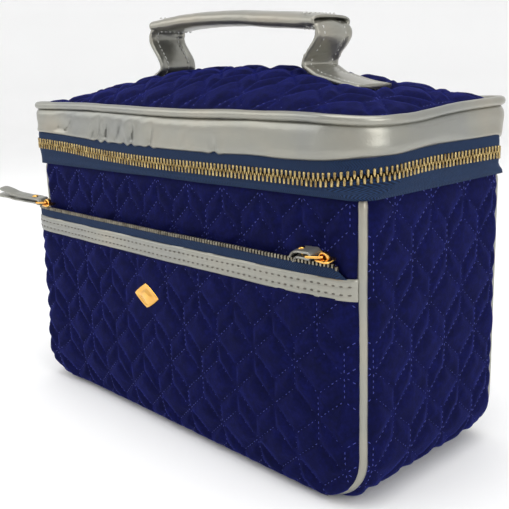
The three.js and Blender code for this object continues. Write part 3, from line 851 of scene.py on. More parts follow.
def corner_swell(x, y):
    """How far the zip and the lid stand out at the front left and rear right corners."""
    left = np.exp(-((x + HALF_W) ** 2 + (y + HALF_D) ** 2) / 30**2) * smooth(-y, 33, 48)
    right = np.exp(-((x - HALF_W) ** 2 + (y - HALF_D + 14) ** 2) / 26**2) * (1 - smooth(y, 42, 52))
    return SWELL_LEFT * left + SWELL_RIGHT * right


def sag(x, y, z):
    """How far the soft lid and zip lie above or below their level height, by place."""
    front = smooth(-y, 31, 52)
    side = smooth(x, 104, 134)
    near_side = side * smooth(y, -52, -5) * (1 - smooth(y, 40, 54))
    dip = smooth(x, -100, 10) * (1 - smooth(x, 105, 140))
    tape_edge = -TAPE_DIP * (1 - (1 - front) * (1 - side))
    zip_line = front * (ZIP_RISE * smooth(-x, 50, 135) - ZIP_DIP * dip) + SIDE_ZIP * near_side
    band_edge = 0.8 * zip_line + 0.6 * front + SIDE_BAND * near_side
    corner = np.exp(-(((x - HALF_W) / 25) ** 2) - ((y + 30) / 32) ** 2)
    rim = front * (RIM_RISE * smooth(-x, 0, 80) - smooth(x, -40, 20)) - RIM_DIP * corner

    def up(low, high):
        return np.clip((z - low) / (high - low), 0, 1)

    return (tape_edge + (zip_line - tape_edge) * up(TAPE_EDGE, ZIP_Z)
            + (band_edge - zip_line) * up(ZIP_Z, BAND_LOW) + (rim - band_edge) * up(BAND_LOW, LID_PIPE_Z))


def loop_points(loop, out, offset, z):
    """3-D points of a loop pushed outwards by offset, at height z."""
    x, y = loop[:, 0], loop[:, 1]
    z = np.broadcast_to(z, (len(loop),))
    offset = offset + corner_swell(x, y) * smooth(z, 146, 151) * (1 - smooth(z, 158, 168))
    return np.column_stack([loop + out * offset[:, None], z + sag(x, y, z)])


def tape(name, profile, flare, use, node, body):
    """A zip tape. profile lists (offset, z) round its section, and flare is a share for each of them."""
    rings = []
    for (offset, z), share in zip(profile, flare):
        loop = ZIP_LOOP * (1 - share) + FLARE_LOOP * share
        out = unit(ZIP_OUT * (1 - share) + FLARE_OUT * share)
        wave = 0.12 * noise(LOOP_S, z, 14, 51)
        rings.append(loop_points(loop, out, offset + wave, z + 0.15 * noise(LOOP_S, 0, 30, 52)))
    rings = np.stack(rings, 1)[use]
    loft(name, rings, TAPE, body, uv=True, replaces=[node])


round_the_front = ~((ZIP_LOOP[:, 1] > ZIP_HALF_Y - 1) & (np.abs(ZIP_LOOP[:, 0]) < STRIP_X + 0.4))
LOW_EDGE = LOW_TAPE - 0.8
TOOTH_FOOT = 2.0  # how far a tooth's legs reach over the tape
low_top = ZIP_LOW + TOOTH_FOOT
outer_z = np.linspace(LOW_EDGE, low_top, 6)
low_profile = [(-TAPE_HALF, LOW_EDGE), (0.35, LOW_EDGE - 0.1)] + [(TAPE_HALF, z) for z in outer_z[1:]]
low_profile += [(-TAPE_HALF, low_top), (-TAPE_HALF, (LOW_EDGE + low_top) / 2)]
shares = [float(1 - smooth(z, LOW_EDGE, LOW_TAPE_TOP)) for _, z in low_profile]
tape("zip_lower_tape_cloth", low_profile, shares, round_the_front, "zip_lower_tape", "case_body")
high_low, high_top = ZIP_TOP - TOOTH_FOOT, BAND_LOW + 1.5
high_profile = [(-TAPE_HALF, high_low)] + [(TAPE_HALF, z) for z in np.linspace(high_low, high_top, 6)]
high_profile += [(-TAPE_HALF, high_top), (-TAPE_HALF, (high_low + high_top) / 2)]
tape("zip_upper_tape_cloth", high_profile, [0.0] * len(high_profile), round_the_front, "zip_upper_tape",
     "lid")

# ---- Teeth ----
TOOTH_PITCH = 2.7
TOOTH_WIDE = 1.25
TOOTH_THICK = 1.9
TOOTH_OUT = 0.3  # how far the middle of a tooth stands out from the zip's centre line


# A tooth's rings from back to front: how far out, as a share of its thickness, and their share of its width.
TOOTH_RINGS = ((-0.5, 0.72), (-0.36, 1), (0.2, 1), (0.4, 0.92), (0.5, 0.62))


def tooth_shape(low, high, wide, thick, head=0):
    """A bevelled tooth, as points (along, out, height). head is 1 or -1 where it narrows to a head at its top
    or its bottom."""
    rings = []
    middle, half = (low + high) / 2, (high - low) / 2
    slim = 0.5 if head else 1
    for out, share in TOOTH_RINGS:
        w, h = wide / 2 * share, half - (1 - share) * wide / 2
        cut = wide * 0.22 * share
        right = [(w - cut, -h), (w, -h + cut), (w, 0.45 * h), (slim * w, 0.62 * h), (slim * w, h)]
        corners = right + [(-a, b) for a, b in right[::-1]]
        rings.extend((a, out * thick + TOOTH_OUT * abs(head), middle + b * (head or 1)) for a, b in corners)
    return np.array(rings)


def teeth(name, shape, centres, outs, rise, material, body, node):
    """Copies of one tooth at centres (x, y), facing outs (x, y), each lifted by its rise."""
    along = np.stack([-outs[:, 1], outs[:, 0]], 1)
    plan = centres[:, None] + along[:, None] * shape[None, :, :1] + outs[:, None] * shape[None, :, 1:2]
    height = shape[None, :, 2:] + np.asarray(rise)[:, None, None]
    faces = ring_faces(len(shape) // len(TOOTH_RINGS), len(TOOTH_RINGS))
    points = np.concatenate([plan, height], 2)
    faces = outward(points[0][None], faces)
    copies(name, points, faces, material, body, replaces=[node])


first_tooth, last_tooth = STRIP_X + 1.6, ZIP_LENGTH - STRIP_X - 1.6
tooth_s = np.arange(first_tooth, last_tooth, TOOTH_PITCH / 2)
closed = np.vstack([ZIP_LOOP, ZIP_LOOP[:1]])
closed_out = np.vstack([ZIP_OUT, ZIP_OUT[:1]])
closed_s = np.append(LOOP_S, ZIP_LENGTH)
tooth_at = sampled(tooth_s, closed_s, closed)
tooth_out = unit(sampled(tooth_s, closed_s, closed_out))
swelled = tooth_at + tooth_out * corner_swell(tooth_at[:, 0], tooth_at[:, 1])[:, None]
tooth_rise = sag(tooth_at[:, 0], tooth_at[:, 1], ZIP_Z)
MESH_DEPTH = 0.5  # how far a tooth reaches past the zip's centre line
low_tooth = tooth_shape(ZIP_LOW - 0.3, ZIP_Z + MESH_DEPTH, TOOTH_WIDE, TOOTH_THICK, 1)
high_tooth = tooth_shape(ZIP_Z - MESH_DEPTH, ZIP_TOP + 0.3, TOOTH_WIDE, TOOTH_THICK, -1)
teeth("zip_lower_teeth_row", low_tooth, swelled[::2], tooth_out[::2], tooth_rise[::2], BRASS, "case_body",
      "zip_lower_teeth")
teeth("zip_upper_teeth_row", high_tooth, swelled[1::2], tooth_out[1::2], tooth_rise[1::2], BRASS, "lid",
      "zip_upper_teeth")

# ---- Hinge strip: one piece of cloth across the hinge line ----
BEND_LOW, BEND_HIGH = 150, 157  # heights between which the strip has close rows, since it bends there
STRIP_FACE, STRIP_THICK = HALF_D + 1.0, 0.9
strip_z = np.concatenate([np.linspace(LOW_EDGE, BEND_LOW, 5)[:-1], np.linspace(BEND_LOW, BEND_HIGH, 29),
                          np.linspace(BEND_HIGH, HIGH_TAPE_TOP + 0.8, 5)[1:]])
strip_x = np.linspace(-STRIP_X, STRIP_X, 80)
strip_rings = []
for z in strip_z:
    bulge = 0.12 * noise(strip_x, z, 12, 61)
    back = points_at(strip_x[::-4], STRIP_FACE - STRIP_THICK, z)
    strip_rings.append(np.vstack([points_at(strip_x, STRIP_FACE + bulge, z), back]))
hinge = loft("hinge_strip_cloth", strip_rings, TAPE, "lid", ride=False, uv=True,
             replaces=["hinge_strip_lower", "hinge_strip_upper"])
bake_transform(hinge)

# ---- Lid band and piping ----
BAND_SHAPE = [  # share of the band's height, and how far it stands out from the zip's centre line
    (0.0, 0.3), (-0.02, 1.0), (0.02, 1.5), (0.08, 1.75), (0.17, 1.9), (0.3, 2.05), (0.43, 2.25), (0.56, 2.5),
    (0.68, 2.65), (0.79, 2.6), (0.88, 2.3), (0.96, 1.7), (1.03, 1.0),
]


FOLDS = (-61, -53, -34, -27, -10, 43)  # where short folds rise from the band's lower edge at the front
FOLD_DIP, FOLD_RIDGE = 1.25, 0.75  # how deep a fold is, and how far the leather beside it stands out
PUCKER_DEPTH, CREASE_DEPTH = 2.0, 0.25
NEAR_FULLNESS = 1.7  # how far the band stands out low down at the near corner


def fold_depth(x, share):
    """How far the folds dip into the band or stand out beside their dips, by share of its height."""
    depth = np.zeros_like(x)
    for k, at in enumerate(FOLDS):
        lean = x - at - (6 - 3 * (k % 2)) * share
        dip = hump(lean, 0, 1.7)
        ridge = hump(lean, 3.6, 2.2) + 0.6 * hump(lean, -4.2, 2.6)
        reach = 0.75 - 0.2 * (k % 3)
        depth += (FOLD_RIDGE * ridge - FOLD_DIP * dip) * (1 - smooth(share, reach - 0.35, reach + 0.2))
    return depth


def lid_band():
    height = BAND_TOP - BAND_LOW
    x, y = ZIP_LOOP[:, 0], ZIP_LOOP[:, 1]
    front = smooth(-y, ZIP_HALF_Y - 14, ZIP_HALF_Y)
    slack = front * (1 - smooth(x, -10, 55)) * smooth(x, -138, -120)
    calm = 0.25 + 0.75 * slack
    full = np.exp(-((x - HALF_W) ** 2 + (y + HALF_D) ** 2) / 60**2)
    rings = []
    for share, out in BAND_SHAPE:
        z = BAND_LOW + share * height
        lean = LOOP_S - 0.9 * share * height
        deep = 1 - np.abs(noise(lean, share * 3.0, 8.5, 71))
        fine = noise(lean * 1.3, share * 6.0, 3.6, 72)
        body = math.sin(math.pi * min(max(share, 0.02), 1)) ** 0.5
        low_down = hump(share, 0.25, 0.3)
        above_edge = float(smooth(share, -0.02, 0.14))
        pucker = -PUCKER_DEPTH * slack * deep**4 * (1.2 - share) - CREASE_DEPTH * calm * fine
        pucker = pucker * body * above_edge
        pucker += NEAR_FULLNESS * full * low_down + front * above_edge * fold_depth(x, share)
        z = z - 0.7 * front * (1 - smooth(share, 0, 0.3)) * fold_depth(x, share)
        wave = 0.5 * noise(LOOP_S, share, 36, 73) * body
        rings.append(loop_points(ZIP_LOOP, ZIP_OUT, out + pucker + wave, z + 0.25 * noise(LOOP_S, 0, 22, 74)))
    for share in (1.03, 0.0):
        rings.append(loop_points(ZIP_LOOP, ZIP_OUT, 0.4, BAND_LOW + share * height))
    loft("lid_band_leather", np.stack(rings, 1), SILVER, "lid", joined=True, uv=True,
         replaces=["lid_band"])


lid_band()
centres = loop_points(ZIP_LOOP, ZIP_OUT, LID_PIPE_OUT + 0.25 * noise(LOOP_S, 0, 30, 81),
                      LID_PIPE_Z + 0.2 * noise(LOOP_S, 0, 25, 82))
outs = np.column_stack([ZIP_OUT, np.zeros(len(ZIP_OUT))])
ups = np.tile([0.0, 0.0, 1.0], (len(ZIP_OUT), 1))
pipe_radius = LID_PIPE_R * (1 + 0.03 * noise(LOOP_S, 0, 6, 83))
tube("lid_piping_cord", centres, outs, ups, pipe_radius, SILVER, "lid", joined=True,
     replaces=["lid_piping"])

# ---- Padded top ----
CROWN_POWER = 2.3
CROWN_PUFF = 2.4
CROWN_EDGE = 0.3  # where the padded top ends, counted from its outline


def crown_height(x, y):
    along = 1 - np.minimum(np.abs(x) / CROWN_X, 1) ** CROWN_POWER
    over = 1 - np.minimum(np.abs(y) / CROWN_Y, 1) ** CROWN_POWER
    return LID_PIPE_Z + (CROWN_TOP - LID_PIPE_Z) * along * over


FOOT_BEND = span("handle_foot_right")[0][0]
FOOT_END, STRAP_HALF = span("handle_foot_right")[1][:2]
PRESS = 3.6  # how deep the strap's ends press the padding in


def corner_round(x, y):
    """Radius of the padded top's corner in the quarter of a point."""
    rear_left, front_left, front_right, rear_right = (radius - CROWN_INSET for radius in CORNERS)
    return np.where(y < 0, np.where(x < 0, front_left, front_right), np.where(x < 0, rear_left, rear_right))


def crown_surface(x, y):
    radius = corner_round(x, y)
    over_x = np.maximum(np.abs(x) - (CROWN_X - radius), 0)
    over_y = np.maximum(np.abs(y) - (CROWN_Y - radius), 0)
    edge = radius - np.hypot(over_x, over_y)
    z = crown_height(x, y) - 2.2 * (1 - smooth(edge, 0.3, 3.5))
    rim = 1 - smooth(edge, 4, 45)
    z = z + sag(x, y, z) * rim - press_down(x, y)
    points = np.stack([x, y, z], -1)
    step = 0.5
    slope_x = (crown_height(x + step, y) - crown_height(x - step, y)) / (2 * step)
    slope_y = (crown_height(x, y + step) - crown_height(x, y - step)) / (2 * step)
    normals = unit(np.stack([-slope_x, -slope_y, np.ones_like(z)], -1))
    # edge is counted from the seam, so that the padding swells close to the piping
    return points, normals, edge + 2.5


def press_down(x, y):
    """How far the sewn-down straps press the padding in. It is deepest under their tips."""
    across = 1 - smooth(np.abs(y), STRAP_HALF - 1, STRAP_HALF + 9)
    reach = smooth(np.abs(x), FOOT_BEND - 12, FOOT_END - 6) * (1 - smooth(np.abs(x), FOOT_END, FOOT_END + 12))
    return PRESS * across * reach


def crown_inner(x, y):
    return np.stack([x * 0.99, y, np.full_like(x, CROWN_LOW)], -1)


def off_feet(x, y):
    """Less padding where the straps are sewn down."""
    across = 1 - smooth(np.abs(y), STRAP_HALF, STRAP_HALF + 5)
    along = smooth(np.abs(x), FOOT_BEND - 6, FOOT_BEND) * (1 - smooth(np.abs(x), FOOT_END, FOOT_END + 4))
    return 1 - 0.85 * across * along


rows_y = np.linspace(-1, 1, int(2 * CROWN_Y / GRID)) * (CROWN_Y - CROWN_EDGE)


def crown_end(side):
    """How far each row of the padded top reaches on one side."""
    radius = corner_round(np.full_like(rows_y, side), rows_y)
    over = np.maximum(np.abs(rows_y) - (CROWN_Y - radius), 0)
    return CROWN_X - radius + np.sqrt(np.maximum((radius - CROWN_EDGE) ** 2 - over**2, 0.2))


t = np.linspace(0, 1, int(2 * CROWN_X / GRID))[None]
u = -crown_end(-1)[:, None] * (1 - t) + crown_end(1)[:, None] * t
v = np.broadcast_to(rows_y[:, None], u.shape)
quilted("lid_quilt", crown_surface, crown_inner, u, v, LID_NODE, CROWN_PUFF, "lid", 91, cover=off_feet,
        replaces=["lid_panel"])
quilt_stitches("lid_quilt_stitches", crown_surface, LID_NODE, (-CROWN_X, -CROWN_Y), (CROWN_X, CROWN_Y),
               "lid", lambda x, y, edge: (edge > 6) & (off_feet(x, y) > 0.5))

# ---- Carrying handle ----
# The grip leans: its middle line, as (x, height), is higher on the left.
GRIP_LINE = curve_through([(-63, 225.0), (-30, 226.4), (5, 225.4), (35, 222.7), (69, 219.6)], 1.0)
GRIP_ENDS = GRIP_LINE[0][0], GRIP_LINE[-1][0]
GRIP_THICK = 8.4
STRAP_THICK = 2.6
FOOT_LIFT = 2.2
# The strap's cross-section: its half thickness over the distance from its middle.
STRAP_SECTION = [(0.0, 0.62), (0.05, 0.92), (0.1, 1.02), (0.15, 0.86), (0.2, 0.66), (0.26, 0.9), (0.36, 1.08),
                 (0.5, 1.15)]
# The leg's course from its bend to the grip: how far out, and the share of the way up.
LEG_COURSE = [(2.0, -0.05), (0.0, 0.0), (-0.4, 0.08), (0.2, 0.17), (2.4, 0.31), (5.6, 0.47), (8.2, 0.62),
              (9.0, 0.76), (7.6, 0.9), (4.0, 0.99), (-2.5, 1.0)]
# Where the strap's leather gathers, counted from its tip and from its end in the grip.
BEND_CREASE, GRIP_CREASE = 42, 11
THICK_THREAD, THIN_THREAD = 0.42, 0.3
END_STITCH, EDGE_STITCH = 0.95, 1.9  # half a stitch across the strap's end, and a stitch along its edge


def strap_rings(path, tangent, s, side):
    """The strap's sections along its path, creased where the leather gathers."""
    across = np.array(STRAP_SECTION)
    half = np.vstack([across, across[:-1][::-1] * [-1, 1] + [1, 0]])
    y = (half[:, 0] * 2 - 1) * STRAP_HALF
    rings = []
    for at, point, way in zip(s, path, tangent):
        normal = np.array([way[1], -way[0]])
        gathered = hump(at, BEND_CREASE, 6) + hump(s[-1] - at, GRIP_CREASE, 5)
        thick = half[:, 1] * STRAP_THICK / 2 + 0.07 * noise(at, y, 6, 95)
        thick = thick + 0.5 * gathered * noise(at * 2.4, y, 4, 96)
        wide = y * (1 - 0.05 * smooth(at, s[-1] - 14, s[-1] - 4))
        curl = 0.5 * (np.abs(y) / STRAP_HALF) ** 2 * smooth(at, 0, 12) - 0.5
        top = point - normal * (thick + curl)[:, None]
        low = point + normal * (thick * 0.8 - curl)[:, None]
        ring = np.vstack([points_at(top[:, 0], wide, top[:, 1]), points_at(low[:, 0], wide, low[:, 1])[::-1]])
        rings.append(ring * [side, 1, 1])
    return rings


def strap(side, name, bend, low, high):
    """A strap sewn flat on the lid, which bends up at x = bend and goes into the grip."""
    foot = [(x, crown_height(x, 0) - press_down(x, 0) + FOOT_LIFT)
            for x in np.linspace(FOOT_END - 0.5, bend + 7, 6)]
    leg = [(bend + out, low + (high - low) * share) for out, share in LEG_COURSE]
    path = curve_through(foot + leg, 0.9)
    tangent, s = unit(np.gradient(path, axis=0)), lengths(path)
    which = name.split("_")[1]
    body = loft(name, strap_rings(path, tangent, s, side), SILVER, "lid", ride=False, uv=True,
                replaces=[f"handle_foot_{which}", f"handle_leg_{which}"])

    def over(distance, y, out):
        """A point that far along the strap and out from its middle, and which way out is."""
        k = int(np.argmin(np.abs(s - distance)))
        normal = np.array([tangent[k][1], -tangent[k][0]])
        at = path[k] - normal * out
        return np.array([side * at[0], y, at[1]]), np.array([-side * normal[0], 0, -normal[1]])

    rows = []
    for share in (0.93, 0.07):
        for y in np.arange(-STRAP_HALF + 2.4, STRAP_HALF - 2, 2.9):
            point, out = over((FOOT_END - FOOT_BEND) * share, y, STRAP_THICK / 2 + 0.2)
            rows.append((point - [0, END_STITCH, 0], point + [0, END_STITCH, 0], out))
    stitch_object(f"{name}_end_stitches", *zip(*rows), THICK_THREAD, PALE_THREAD, "lid")
    rows = []
    lift = STRAP_THICK / 2 * 0.55
    for face in (1, -1):
        for y in (-STRAP_HALF * 0.6, STRAP_HALF * 0.6):
            for distance in np.arange(3, s[-1] - 9, 3.0):
                start, out = over(distance, y, face * lift)
                end, _ = over(distance + EDGE_STITCH, y, face * lift)
                rows.append((start, end, out * face))
    edge_rows = stitch_object(f"{name}_edge_stitches", *zip(*rows), THIN_THREAD, PALE_THREAD, "lid",
                              ride=False)
    for piece in (body, edge_rows):
        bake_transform(piece)


strap(-1, "strap_left", 55.5, 199.6, 224.2)
strap(1, "strap_right", 61.4, 198.3, 219.6)


def grip_middle(x):
    return np.interp(x, GRIP_LINE[:, 0], GRIP_LINE[:, 1])


SLEEVE_STITCH = 8.0  # from each end of the sleeve to its row of stitches


def sleeve_half(x):
    """Half the sleeve's thickness: thinner towards its open ends, and pinched under its stitches."""
    from_end = min(x - GRIP_ENDS[0], GRIP_ENDS[1] - x)
    near_end = 1 - smooth(from_end, 0, 14)
    pinch = hump(from_end, SLEEVE_STITCH, 1.2)
    return GRIP_THICK / 2 * (1 - (0.2 if x > 0 else 0.12) * near_end) - 0.4 * pinch


def grip():
    sides = 36
    angles = circle(sides)
    xs = np.linspace(*GRIP_ENDS, 121)
    rings = []

    def ring(x, wide, thick):
        y = wide * powered(np.cos(angles), 0.62)
        z = thick * powered(np.sin(angles), 0.78)
        fold = 0.10 * noise(x, angles * 4, 5.0, 101) + 0.12 * noise(x * 0.3, angles * 3, 2.0, 102)
        return points_at(x, y + fold * np.cos(angles), grip_middle(x) + z + fold * np.sin(angles))

    for x in xs:
        near_end = 1 - smooth(min(x - GRIP_ENDS[0], GRIP_ENDS[1] - x), 0, 14)
        rings.append(ring(x, STRAP_HALF + 0.4 + 0.5 * near_end, sleeve_half(x)))
    for end in (1, -1):
        edge = GRIP_ENDS[1] if end == 1 else GRIP_ENDS[0]
        inside = [ring(edge - end * depth, STRAP_HALF - 0.2, GRIP_THICK * 0.24) for depth in (0.1, 3, 6)]
        rings = rings + inside if end == 1 else inside[::-1] + rings
    sleeve = loft("grip_sleeve", rings, SILVER, "handle", replaces=["handle_grip"], uv=True)
    rows = []
    for x in (GRIP_ENDS[0] + SLEEVE_STITCH, GRIP_ENDS[1] - SLEEVE_STITCH):
        lift = sleeve_half(x) + 0.1
        for y in np.arange(-STRAP_HALF + 2.2, STRAP_HALF - 1.6, 3.1):
            for face in (1, -1):
                z = grip_middle(x) + face * lift
                rows.append(([x, y - 1.0, z], [x, y + 1.0, z], [0, 0, face]))
    stitch_object("grip_stitches", *zip(*rows), THICK_THREAD, PALE_THREAD, "handle")


grip()

# ---- Front pocket ----
POCKET_OUT = 6.2  # how far the pocket bulges forwards
POCKET_PUFF = 2.1
EMBLEM_LOW, EMBLEM_HIGH = span("emblem")
EMBLEM_X, EMBLEM_Z = (EMBLEM_LOW[0] + EMBLEM_HIGH[0]) / 2, (EMBLEM_LOW[2] + EMBLEM_HIGH[2]) / 2
SIDE_REACH = HALF_W - SEAM_END


def round_the_bottom(x, z):
    """0 along the pocket's sides and 1 along its bottom edge."""
    angle = np.degrees(np.arctan2(BASE_ROUND - z, np.maximum(np.abs(x) - (HALF_W - BASE_ROUND), 0.01)))
    return smooth(angle, 40, 80)


def emblem_bed(x, z):
    return 1 - smooth(np.hypot((x - EMBLEM_X) / 11, (z - EMBLEM_Z) / 8), 0.8, 1.9)


def pocket_surface(x, z):
    edge = trough_edge(x, z)
    low = round_the_bottom(x, z)
    across = 1 - np.minimum(np.abs(x) / SIDE_REACH, 1) ** np.where(x < 0, 12, 7)
    bulge = 0.8 + (POCKET_OUT - 0.8) * across * smooth(z, -6, 30) + 1.2 * emblem_bed(x, z)
    y = -(HALF_D - seam_roll(edge, SEAM_ROUND - 6 * low)) - bulge
    points = np.stack([x, y, z], -1)
    normals = np.zeros_like(points)
    normals[..., 1] = -1
    return points, normals, edge + 3.5 * low


def pocket_inner(x, z):
    outer = pocket_surface(x, z)[0]
    panel = -(HALF_D - seam_roll(trough_edge(x, z)))
    outer[..., 1] = np.minimum(outer[..., 1] + 2.2, panel + 0.6)
    return outer


u, v = facing_grid(POCKET_TOP + 1)
lip_z = np.array([0.7, 1.3, 2.2])
lip_u = (HALF_W - BASE_ROUND + 1 + 5 * (lip_z / SEAM_END))[:, None] * np.linspace(-1, 1, u.shape[1])
u, v = np.vstack([lip_u, u]), np.vstack([np.broadcast_to(lip_z[:, None], lip_u.shape), v])
quilted("pocket_quilt", pocket_surface, pocket_inner, u, v, POCKET_NODE, POCKET_PUFF, "case_body", 111,
        cover=lambda x, z: (1 - 0.9 * emblem_bed(x, z)) * (1 - 0.7 * smooth(z, POCKET_TOP - 4, POCKET_TOP)),
        replaces=["pocket_panel"])
quilt_stitches("pocket_quilt_stitches", pocket_surface, POCKET_NODE, (-HALF_W, 2), (HALF_W, POCKET_TOP - 0.5),
               "case_body", lambda x, z, edge: (edge > 4.4) & (emblem_bed(x, z) < 0.5))
MOUTH_X = HALF_W - SEAM_END - 1.2


def mouth_y(x, out):
    """Where the pocket's mouth lies at x, pushed out by out. Its ends are sewn into the side seams."""
    across = 1 - np.minimum(np.abs(x) / MOUTH_X, 1) ** np.where(x < 0, 16, 5)
    seam = seam_roll(HALF_W - np.abs(x))
    return -(HALF_D - seam + 0.9 + (POCKET_OUT - 2.4) * across + out * (0.25 + 0.75 * across**0.7))


def mouth_rise(x):
    """The mouth climbs a little towards its left end."""
    return 1.2 * smooth(-x, 90, 128) + 0.25 * noise(x, 0, 30, 121)


def tape_rise(x):
    """The mouth's tape and teeth go down behind the trim at their right end."""
    return mouth_rise(x) - 5.0 * smooth(x, 119, 127)


def mouth_strip(name, low, high, out, thick, material, node, grooves=(), end=MOUTH_X, rise=mouth_rise):
    """A band across the mouth, from low to high, with a face that swells between its rows of stitches."""
    share = np.linspace(0, 1, 19)
    face = (1 - np.abs(2 * share - 1) ** 6) ** (1 / 6)
    for groove in grooves:
        face = face - 0.16 * hump(share, groove, 0.055)
    rings = []
    for x in np.linspace(-end, end, 190):
        z = low + (high - low) * share + rise(x)
        y = mouth_y(x, out + thick * face + 0.12 * noise(x, share * 9, 6, 122))
        rings.append(np.vstack([points_at(x, y, z), points_at(x, mouth_y(x, out), z[[-1, 9, 0]])]))
    loft(name, rings, material, "case_body", uv=True, replaces=[node])


STITCH_ROWS = (0.31, 0.67)  # shares of the trim's height
TRIM_THICK = 2.7
TRIM_PITCH, TRIM_STITCH, TRIM_THREAD = 3.8, 1.9, 0.34
TRIM_SPARE = 0.3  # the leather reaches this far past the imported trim
trim_low, trim_high = TRIM_LOW - TRIM_SPARE, TRIM_TOP - TRIM_LOW + 2 * TRIM_SPARE
mouth_strip("pocket_trim_leather", trim_low, TRIM_TOP + TRIM_SPARE, 0.0, TRIM_THICK, SILVER, "pocket_trim",
            STITCH_ROWS)
xs = np.linspace(-MOUTH_X + 2, MOUTH_X - 1, 400)
rows = []
for share in STITCH_ROWS:
    path = points_at(xs, mouth_y(xs, TRIM_THICK * 0.86), trim_low + trim_high * share + mouth_rise(xs))
    rows.append(dashes(path, np.tile([0.0, -1.0, 0.0], (len(xs), 1)), TRIM_PITCH, TRIM_STITCH))
starts, ends, ups = (np.vstack(part) for part in zip(*rows))
stitch_object("pocket_trim_stitches", starts, ends, ups, TRIM_THREAD, GREY_THREAD, "case_body")
mouth_strip("pocket_tape_cloth", TRIM_TOP - 0.4, ROW_LOW + 0.2, 0.7, 0.9, TAPE, "pocket_zip_tape",
            end=MOUTH_X - 2, rise=tape_rise)
SMALL_WIDE, SMALL_PITCH = 1.15, 2.0
small = tooth_shape(0, ROW_TOP - ROW_LOW + 0.2, SMALL_WIDE, 1.7)
small[:, 2] += ROW_LOW
row_x = np.arange(-MOUTH_X + 5, MOUTH_X - 7, SMALL_PITCH)
outs = np.tile([0.0, -1.0], (len(row_x), 1))
teeth("pocket_teeth_row", small, np.column_stack([row_x, mouth_y(row_x, 1.3)]), outs, tape_rise(row_x),
      PALE_BRASS, "case_body", "pocket_zip_teeth")

# The mouth's inner tape is sewn flat on the front panel.
INNER_LOW, INNER_HIGH = span("pocket_zip_back_tape")
inner_rings = []
for x in np.linspace(INNER_LOW[0], INNER_HIGH[0], 120):
    face = -HALF_D - 1.0 - 0.2 * noise(x, 0, 9, 131)
    inner_rings.append([(x, face, INNER_LOW[2]), (x, face - 0.1, INNER_LOW[2] + 4),
                        (x, face, INNER_HIGH[2] + 0.5), (x, face + 0.8, INNER_HIGH[2] + 0.5),
                        (x, face + 0.8, INNER_LOW[2])])
loft("pocket_inner_tape_cloth", inner_rings, TAPE, "case_body", uv=True, replaces=["pocket_zip_back_tape"])
inner_tooth = tooth_shape(0, 2.0, SMALL_WIDE, 1.0)
inner_tooth[:, 2] += INNER_HIGH[2]
row_x = np.arange(INNER_LOW[0] + 1, INNER_HIGH[0] - 1, SMALL_PITCH)
at = np.column_stack([row_x, np.full(len(row_x), -HALF_D - 1.2)])
outs = np.tile([0.0, -1.0], (len(row_x), 1))
teeth("pocket_inner_teeth_row", inner_tooth, at, outs, np.zeros(len(row_x)), PALE_BRASS, "case_body",
      "pocket_zip_back_teeth")
EMBLEM_GROWTH = 1.1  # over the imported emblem
EMBLEM_POWER = 1.12  # 1 would give straight sides, and 2 a round emblem
# The emblem's rings from back to front: share of its size, and how far out.
EMBLEM_RINGS = ((0.97, 0), (1, 0.2), (1, 0.9), (0.93, 1.2), (0.82, 1.2), (0.72, 0.8), (0.6, 0.8), (0.5, 1.1),
                (0.25, 1.5), (0.04, 1.7))


def emblem():
    """A bevelled lozenge with a raised facet in its middle."""
    half = (EMBLEM_HIGH - EMBLEM_LOW) / 2 * EMBLEM_GROWTH
    rings = []
    angles = circle(32)
    x, z = np.cos(angles), np.sin(angles)
    spread = 1 / (np.abs(x) ** EMBLEM_POWER + np.abs(z) ** EMBLEM_POWER) ** (1 / EMBLEM_POWER)
    back = EMBLEM_HIGH[1] + 0.5
    for share, out in EMBLEM_RINGS:
        size = share * spread
        rings.append(points_at(EMBLEM_X + half[0] * size * x, back - out, EMBLEM_Z + half[2] * size * z))
    loft("emblem_lozenge", rings, GOLD, "case_body", replaces=["emblem"])


emblem()

# ---- Sliders and pulls ----
# A slider's own frame: x is the way its pull points, y runs along the pull's bar and z faces out.
BAR_HEIGHT = 1.1
LINK_LENGTH = 7.0
LINK_HALF, NEAR_HALF = 4.7, 2.1  # half the link's width at the pull and at the slider
LINK_ROUND = 1.0
BAR_R = 0.6
PLATE_HALF = (3.6, 4.5)
PLATE_POWER = 0.55  # how round the plate's corners are: 1 would give an oval
PULL_LENGTH = 38.0
PULL_HALF = 3.8
LEAF = 1.2  # the leather's thickness
LEAF_GAP = 0.7  # half the gap between the pull's two leaves
RIVET_AT = 13.0
# The plate's rings: share of its size, and height. The arch's section: out and across.
PLATE_RINGS = ((0.9, -1.0), (0.98, -0.85), (1, -0.5), (0.99, -0.2), (0.92, 0), (0.8, 0.05), (0.74, 0.18),
               (0.3, 0.3))
ARCH_HALF = ((0.42, 0.9), (0.3, 1.15), (-0.3, 1.15), (-0.42, 0.9))
ARCH_SECTION = ARCH_HALF + tuple((out, -across) for out, across in ARCH_HALF[::-1])
# The rivet's rings from its middle to one end: radius and height.
RIVET_HALF = ((0.9, 1.9), (1.8, 1.95), (1.75, 2.2), (1.2, 2.6), (0.3, 2.75))


def place(points, origin, axes):
    return np.asarray(origin) + np.asarray(points) @ np.asarray(axes)


